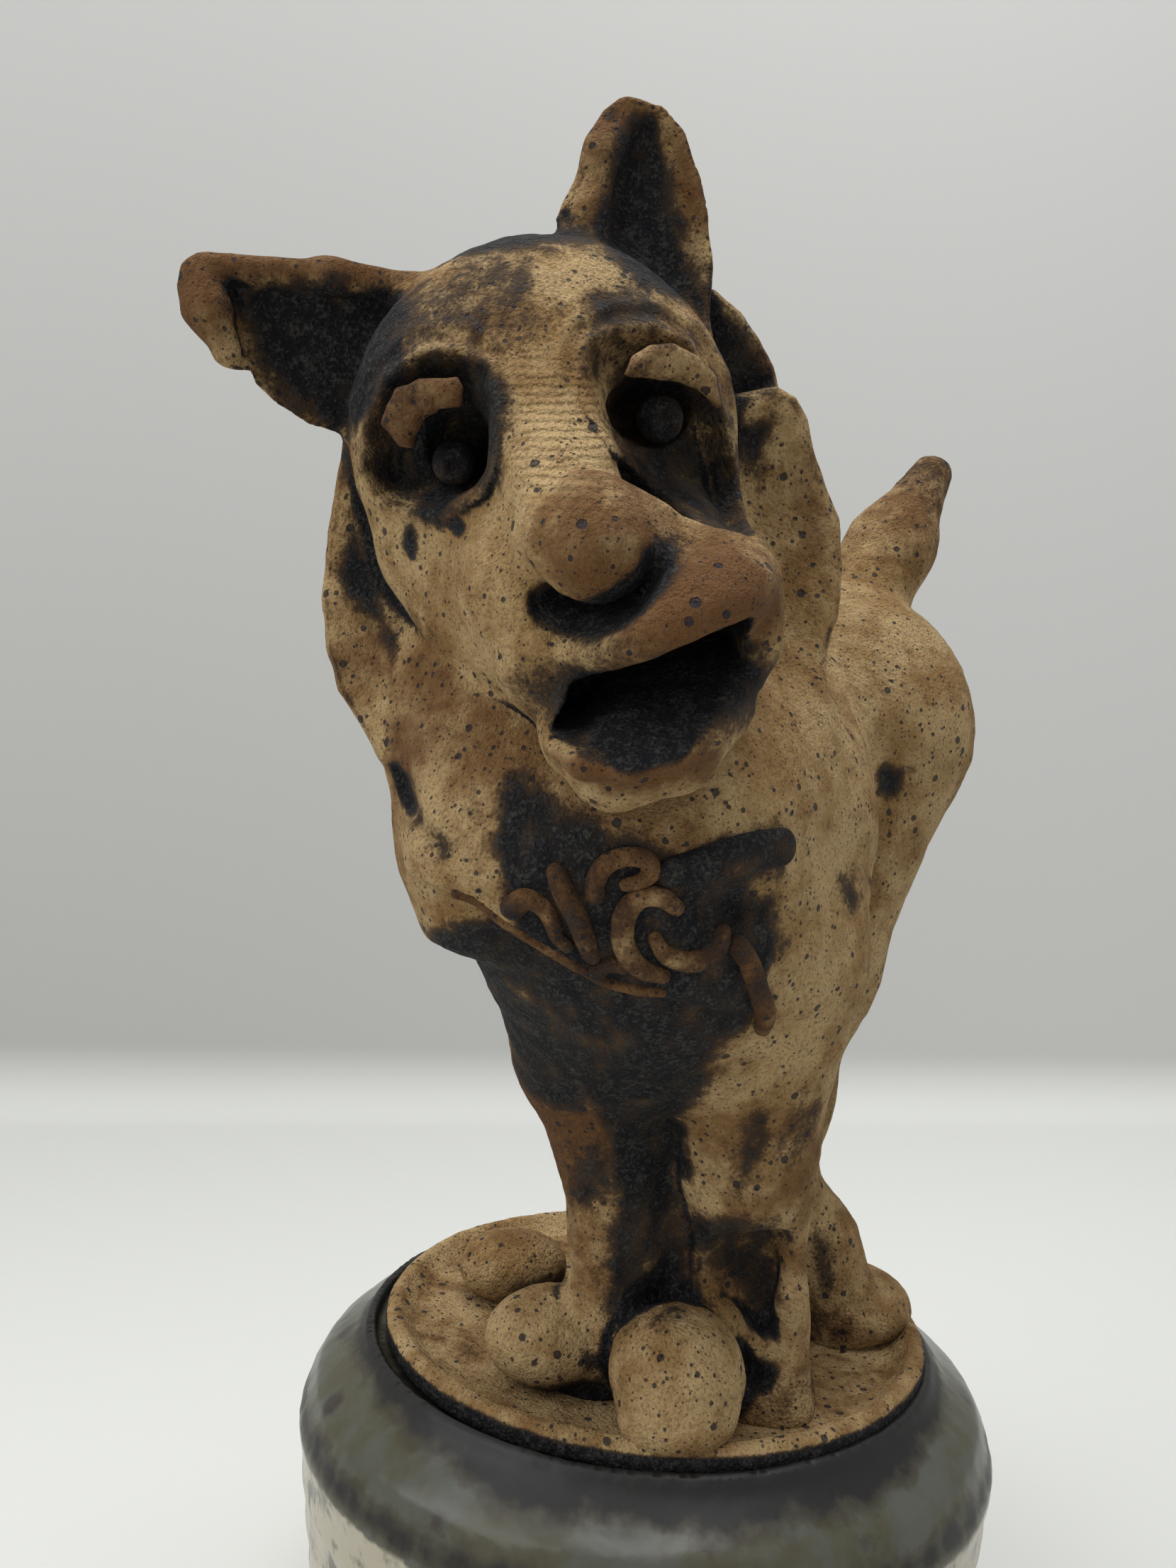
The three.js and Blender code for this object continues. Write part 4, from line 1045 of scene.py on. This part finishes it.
# Path of each roll, as turn round the chest and height, and its radius at each point
CURLS = {
    "curl_hook": (
        [(3.9, 54.3), (7.4, 55.1), (10.3, 54.5), (11.4, 53.2), (11.2, 52), (12.8, 51.2)],
        [1.15, 0.95, 0.8, 0.75, 0.65, 0.6]),
    "curl_strip": (
        [(15.4, 57.5), (15.8, 55.8), (17, 53.7), (17.3, 51.2), (17.8, 50.4)],
        [0.85, 0.95, 0.95, 0.85, 0.7]),
    "curl_loop": (
        [(22.5, 55.8), (23.4, 57), (26.2, 58.3), (31.1, 59.1), (35.6, 59), (36.6, 58), (33.7, 57.2),
         (30, 56.8)],
        [0.8, 0.85, 0.85, 0.85, 0.85, 0.8, 0.7, 0.6]),
    "curl_round": (
        [(40.7, 55), (37.4, 55.9), (32.6, 55.8), (28.4, 54.4), (26.2, 52.4), (26.5, 50.6), (29.3, 49.5),
         (33.9, 49)],
        [0.75, 0.9, 0.95, 1, 1, 1, 0.9, 0.7]),
    "curl_crescent": (
        [(33.8, 52.4), (35.5, 51), (40.2, 50.4), (45.5, 50.7), (50.1, 51.8), (52.2, 53.1)],
        [0.6, 0.8, 0.95, 0.95, 0.9, 0.7]),
    "curl_long": (
        [(55.9, 51.8), (59, 50.2), (62, 47.7), (66.1, 45.3), (69.6, 43.3)],
        [1, 1, 1, 1, 0.8]),
    "curl_scrap": (
        [(18, 49.1), (21.6, 49.8), (24.4, 49.5)],
        [0.8, 0.65, 0.6]),
    "bib_edge": (
        [(-8, 55), (-4.9, 54.5), (0, 52.7), (6.8, 51), (13.2, 49.4), (19.7, 48.1), (26.7, 47.6),
         (32.9, 47.5)],
        [0.5, 0.65, 0.65, 0.6, 0.6, 0.6, 0.6, 0.5]),
    "collar_strap": (
        [(41, 58), (49.2, 58.7), (60.6, 59.7), (73.5, 60.4)],
        [1.3, 1.6, 1.8, 1.7]),
}
DARKNESS = {"collar_strap": 0.8, "curl_crescent": 0.45, "bib_edge": 0.22}

for name, (spots, radii) in CURLS.items():
    path = on_chest(spots, 0.1)
    path, thick = bent(path, radii)
    curl = lambda p: coil(p, path, thick, 0)
    if name == "collar_strap":
        curl = lambda p: press(coil(p, path, thick, 0), 0.9 - dog_body(p)[0], 0.5)
    roll_out(name, curl, path.min(0) - 1.5, path.max(0) + 1.5, SMALL, DARKNESS.get(name, 0.38), 0.85)

# The thrown base and the disc that stands in it

BASE = [
    (-10, 0), (35, 0), (36.5, 1.5), (40.3, 32), (40.6, 35), (40.1, 37.4), (38.8, 39.4),
    (34.2, 43.4), (33.3, 44.5), (32.5, 44.4), (32.3, 43), (27, 43), (27, 39), (35, 33), (31.5, 6),
    (-10, 6),
]
DISC = [
    (-5, RIM - 6.8), (26.5, RIM - 6.8), (26.5, RIM - 3), (31.6, RIM - 3), (32.1, RIM - 2.2),
    (32.1, RIM - 0.7), (31.3, RIM), (30.5, RIM), (29.8, RIM - 0.8), (28.4, RIM - 2), (26, STAND),
    (-5, STAND),
]


def base(p):
    """Base thrown on the wheel: rings left by the fingers, a hollow and a vent through its floor."""
    q = p + np.array([0.6, 0.4, 0])
    out = length(q[:, :2])
    d = outline(out, p[:, 2], BASE)
    d = d - 0.12 * np.sin(p[:, 2] * 1.15 + 0.2 * np.arctan2(q[:, 1], q[:, 0])) * ease(2, 6, p[:, 2])
    vent = np.maximum(length(p[:, :2] - np.array([14, 0])) - 2.2, np.abs(p[:, 2]) - 9)
    return press(d, vent, 0.5)


def disc(p):
    out = length(p[:, :2])
    return outline(out, p[:, 2] - 0.25 * grain(p * np.array([1, 1, 0]), 9, 7) * ease(27, 31, out), DISC)


def throw(name, field, low, high, step, marks):
    """Piece made on the wheel, with marks worked out from each point."""
    whole = lambda p: (field(p), {name: field(p), "air": np.full(len(p), 1e3)})
    low, grids = sampled(whole, [name], np.array(low, float), np.array(high, float), step)
    verts, faces = meshed(grids[name], low, step)
    verts, normal = weathered(drawn_on(field, verts, step), field, 0.1)
    make_piece(name, verts, faces, **marks(verts, hollow(verts, normal, field)))


def glaze_marks(verts, _):
    """Glaze thin at the lip, on the shoulder and inside, and milky on the wall."""
    out, rise = length(verts[:, :2]), verts[:, 2]
    across = (verts @ FRONT.T)[:, 0]
    fringe = 43 - 1.7 * ease(-32, -16, across) * ease(36, 22, across)
    lip = 1.1 * ease(fringe - 1.8, fringe + 1.6, rise)
    shoulder = 0.85 * np.exp(-((rise - 36.4) / 1.7) ** 2)
    inside = ease(0.5, -0.5, out - np.interp(rise, (0, 32, 44), (33, 37, 31)))
    return {"thin": np.maximum.reduce([lip, shoulder, inside]), "milky": 0.75 * ease(36, 34, rise)}


def disc_marks(verts, shut):
    """Patchy stain on the floor of the disc, and dark under its edge."""
    out, rise = length(verts[:, :2]), verts[:, 2]
    patchy = 0.12 + 0.14 * grain(verts * np.array([1, 1, 0]), 14, 21) + 0.06 * grain(verts, 5, 22)
    side = ease(RIM - 0.5, RIM - 1.1, rise) * ease(31, 31.5, out)
    stain = np.maximum.reduce([patchy * ease(29.6, 27, out), side, 0.8 * ease(0.25, 0.6, shut)])
    return {"stain": stain, "toast": 0.34 - 0.16 * ease(28, 30.5, out)}


BASE_FINE = 0.7
DISC_FINE = 0.55
throw("thrown_base", base, (-43, -43, -1), (43, 43, 46), BASE_FINE, glaze_marks)
throw("standing_disc", disc, (-34, -34, RIM - 8), (34, 34, RIM + 2), DISC_FINE, disc_marks)

# Camera, floor, backdrop and lights

# Camera of the photograph, fitted to the rim of the disc: degrees, millimetres, and a lens in pixels
CAMERA_TURN, CAMERA_YAW, CAMERA_ROLL = 30, -4.52, 3.16
CAMERA_DISTANCE, CAMERA_ABOVE_RIM = 143.9, 62.7
SENSOR, FOCAL_PIXELS, PHOTO_HEIGHT = 36, 1653, 2212

# Paper: the way it runs in degrees, its sizes in metres, and its floor and wall tones on each side; the
# tones paint in shade, darker on the wall and on the left
PAPER_HEADING, PAPER_FOOT = 45.2, np.array([-0.1232, 0.1972])
PAPER_REACH, PAPER_HALF_WIDTH = 1.2, 1.4
SWEEP_RADIUS, WALL_HEIGHT = 0.02, 0.5
LEFT_PAPER_PAINTED_LIGHT = [(0.53, 0.535, 0.51, 1), (0.42, 0.42, 0.405, 1)]
RIGHT_PAPER_PAINTED_LIGHT = [(0.66, 0.665, 0.635, 1), (0.56, 0.56, 0.54, 1)]

LAMPS_AIM = Vector((0.01, -0.04, 0.12))


def stage(name, verts, faces, left, right):
    """Paper of the studio, its floor and wall tones painted with shade: darker on the wall than the
    floor, and darker on the left than on the right.
    """
    material, r = finish(name)
    across = r.node("ShaderNodeSeparateXYZ", {}, {"Vector": r.place()}, "X")
    wall = across.also("Z").fade(0.0, 0.022)
    # Painted shade: the wall darker than the floor, the left darker than the right
    painted_light_tone = r.mix(across.fade(-0.3, 0.06), r.mix(wall, *left), r.mix(wall, *right))
    r.surface(Base_Color=painted_light_tone, Roughness=0.9)
    mesh = bpy.data.meshes.new(name)
    mesh.from_pydata(verts, [], faces)
    mesh.polygons.foreach_set("use_smooth", np.ones(len(mesh.polygons), bool))
    mesh.materials.append(material)
    thing = bpy.data.objects.new(name, mesh)
    bpy.context.scene.collection.objects.link(thing)


def softbox(name, power, size, place):
    """Square lamp turned towards the dog's head."""
    lamp = bpy.data.lights.new(name, "AREA")
    lamp.energy = power
    lamp.size = size
    box = bpy.data.objects.new(name, lamp)
    box.location = place
    towards = LAMPS_AIM - box.location
    box.rotation_euler = towards.to_track_quat("-Z", "Y").to_euler()
    bpy.context.scene.collection.objects.link(box)


def backdrop():
    """Paper that runs back behind the base and sweeps up into a wall."""
    heading = math.radians(PAPER_HEADING)
    away = np.array([-math.sin(heading), math.cos(heading)])
    side = np.array([away[1], -away[0]])
    sweep = [(-PAPER_REACH, 0.0)]
    for a in np.linspace(0, math.pi / 2, 17):
        sweep.append((SWEEP_RADIUS * math.sin(a), SWEEP_RADIUS * (1 - math.cos(a))))
    sweep.append((SWEEP_RADIUS, WALL_HEIGHT))
    verts, faces = [], []
    for along, rise in sweep:
        for across in (-PAPER_HALF_WIDTH, PAPER_HALF_WIDTH):
            spot = PAPER_FOOT + away * along + side * across
            verts.append((spot[0], spot[1], rise))
    for i in range(len(sweep) - 1):
        faces.append((2 * i, 2 * i + 1, 2 * i + 3, 2 * i + 2))
    stage("paper_sweep_painted_light", verts, faces, LEFT_PAPER_PAINTED_LIGHT, RIGHT_PAPER_PAINTED_LIGHT)


def room_light():
    """Even light from all round."""
    world = bpy.data.worlds.new("room")
    world.use_nodes = True
    r = Recipe(world.node_tree)
    light = r.node("ShaderNodeBackground", {}, {"Color": (0.96, 0.98, 1, 1), "Strength": 0.5})
    r.node("ShaderNodeOutputWorld", {}, {"Surface": light})
    bpy.context.scene.world = world


def photo_camera():
    """Camera that stands where the photograph was taken from."""
    yaw, roll = math.radians(CAMERA_YAW), math.radians(CAMERA_ROLL)
    spin = turn("z", CAMERA_TURN)
    at = spin @ np.array([0, -CAMERA_DISTANCE, CAMERA_ABOVE_RIM + RIM])
    ahead = spin @ np.array([math.sin(yaw), math.cos(yaw), 0])
    right = spin @ np.array([math.cos(yaw), -math.sin(yaw), 0])
    up = np.array([0, 0, 1.0])
    x = right * math.cos(roll) + up * math.sin(roll)
    y = up * math.cos(roll) - right * math.sin(roll)
    camera = bpy.data.objects.new("camera", bpy.data.cameras.new("camera"))
    camera.data.lens = SENSOR * FOCAL_PIXELS / PHOTO_HEIGHT
    camera.data.clip_start = 0.01
    camera.matrix_world = Matrix([(x[i], y[i], -ahead[i], at[i] * MM) for i in range(3)] + [(0, 0, 0, 1)])
    bpy.context.scene.collection.objects.link(camera)
    bpy.context.scene.camera = camera
    bpy.context.scene.view_settings.view_transform = "Standard"


backdrop()
softbox("top_softbox", 4.6, 0.5, (0.04, -0.06, 0.8))
softbox("side_softbox", 1.3, 0.4, (-0.2, -0.4, 0.4))
room_light()
photo_camera()

for node, thing in frame["nodes"].items():
    thing.data.materials.clear()
    thing.data.materials.append(FINISHES[SLOT_OF[node]])
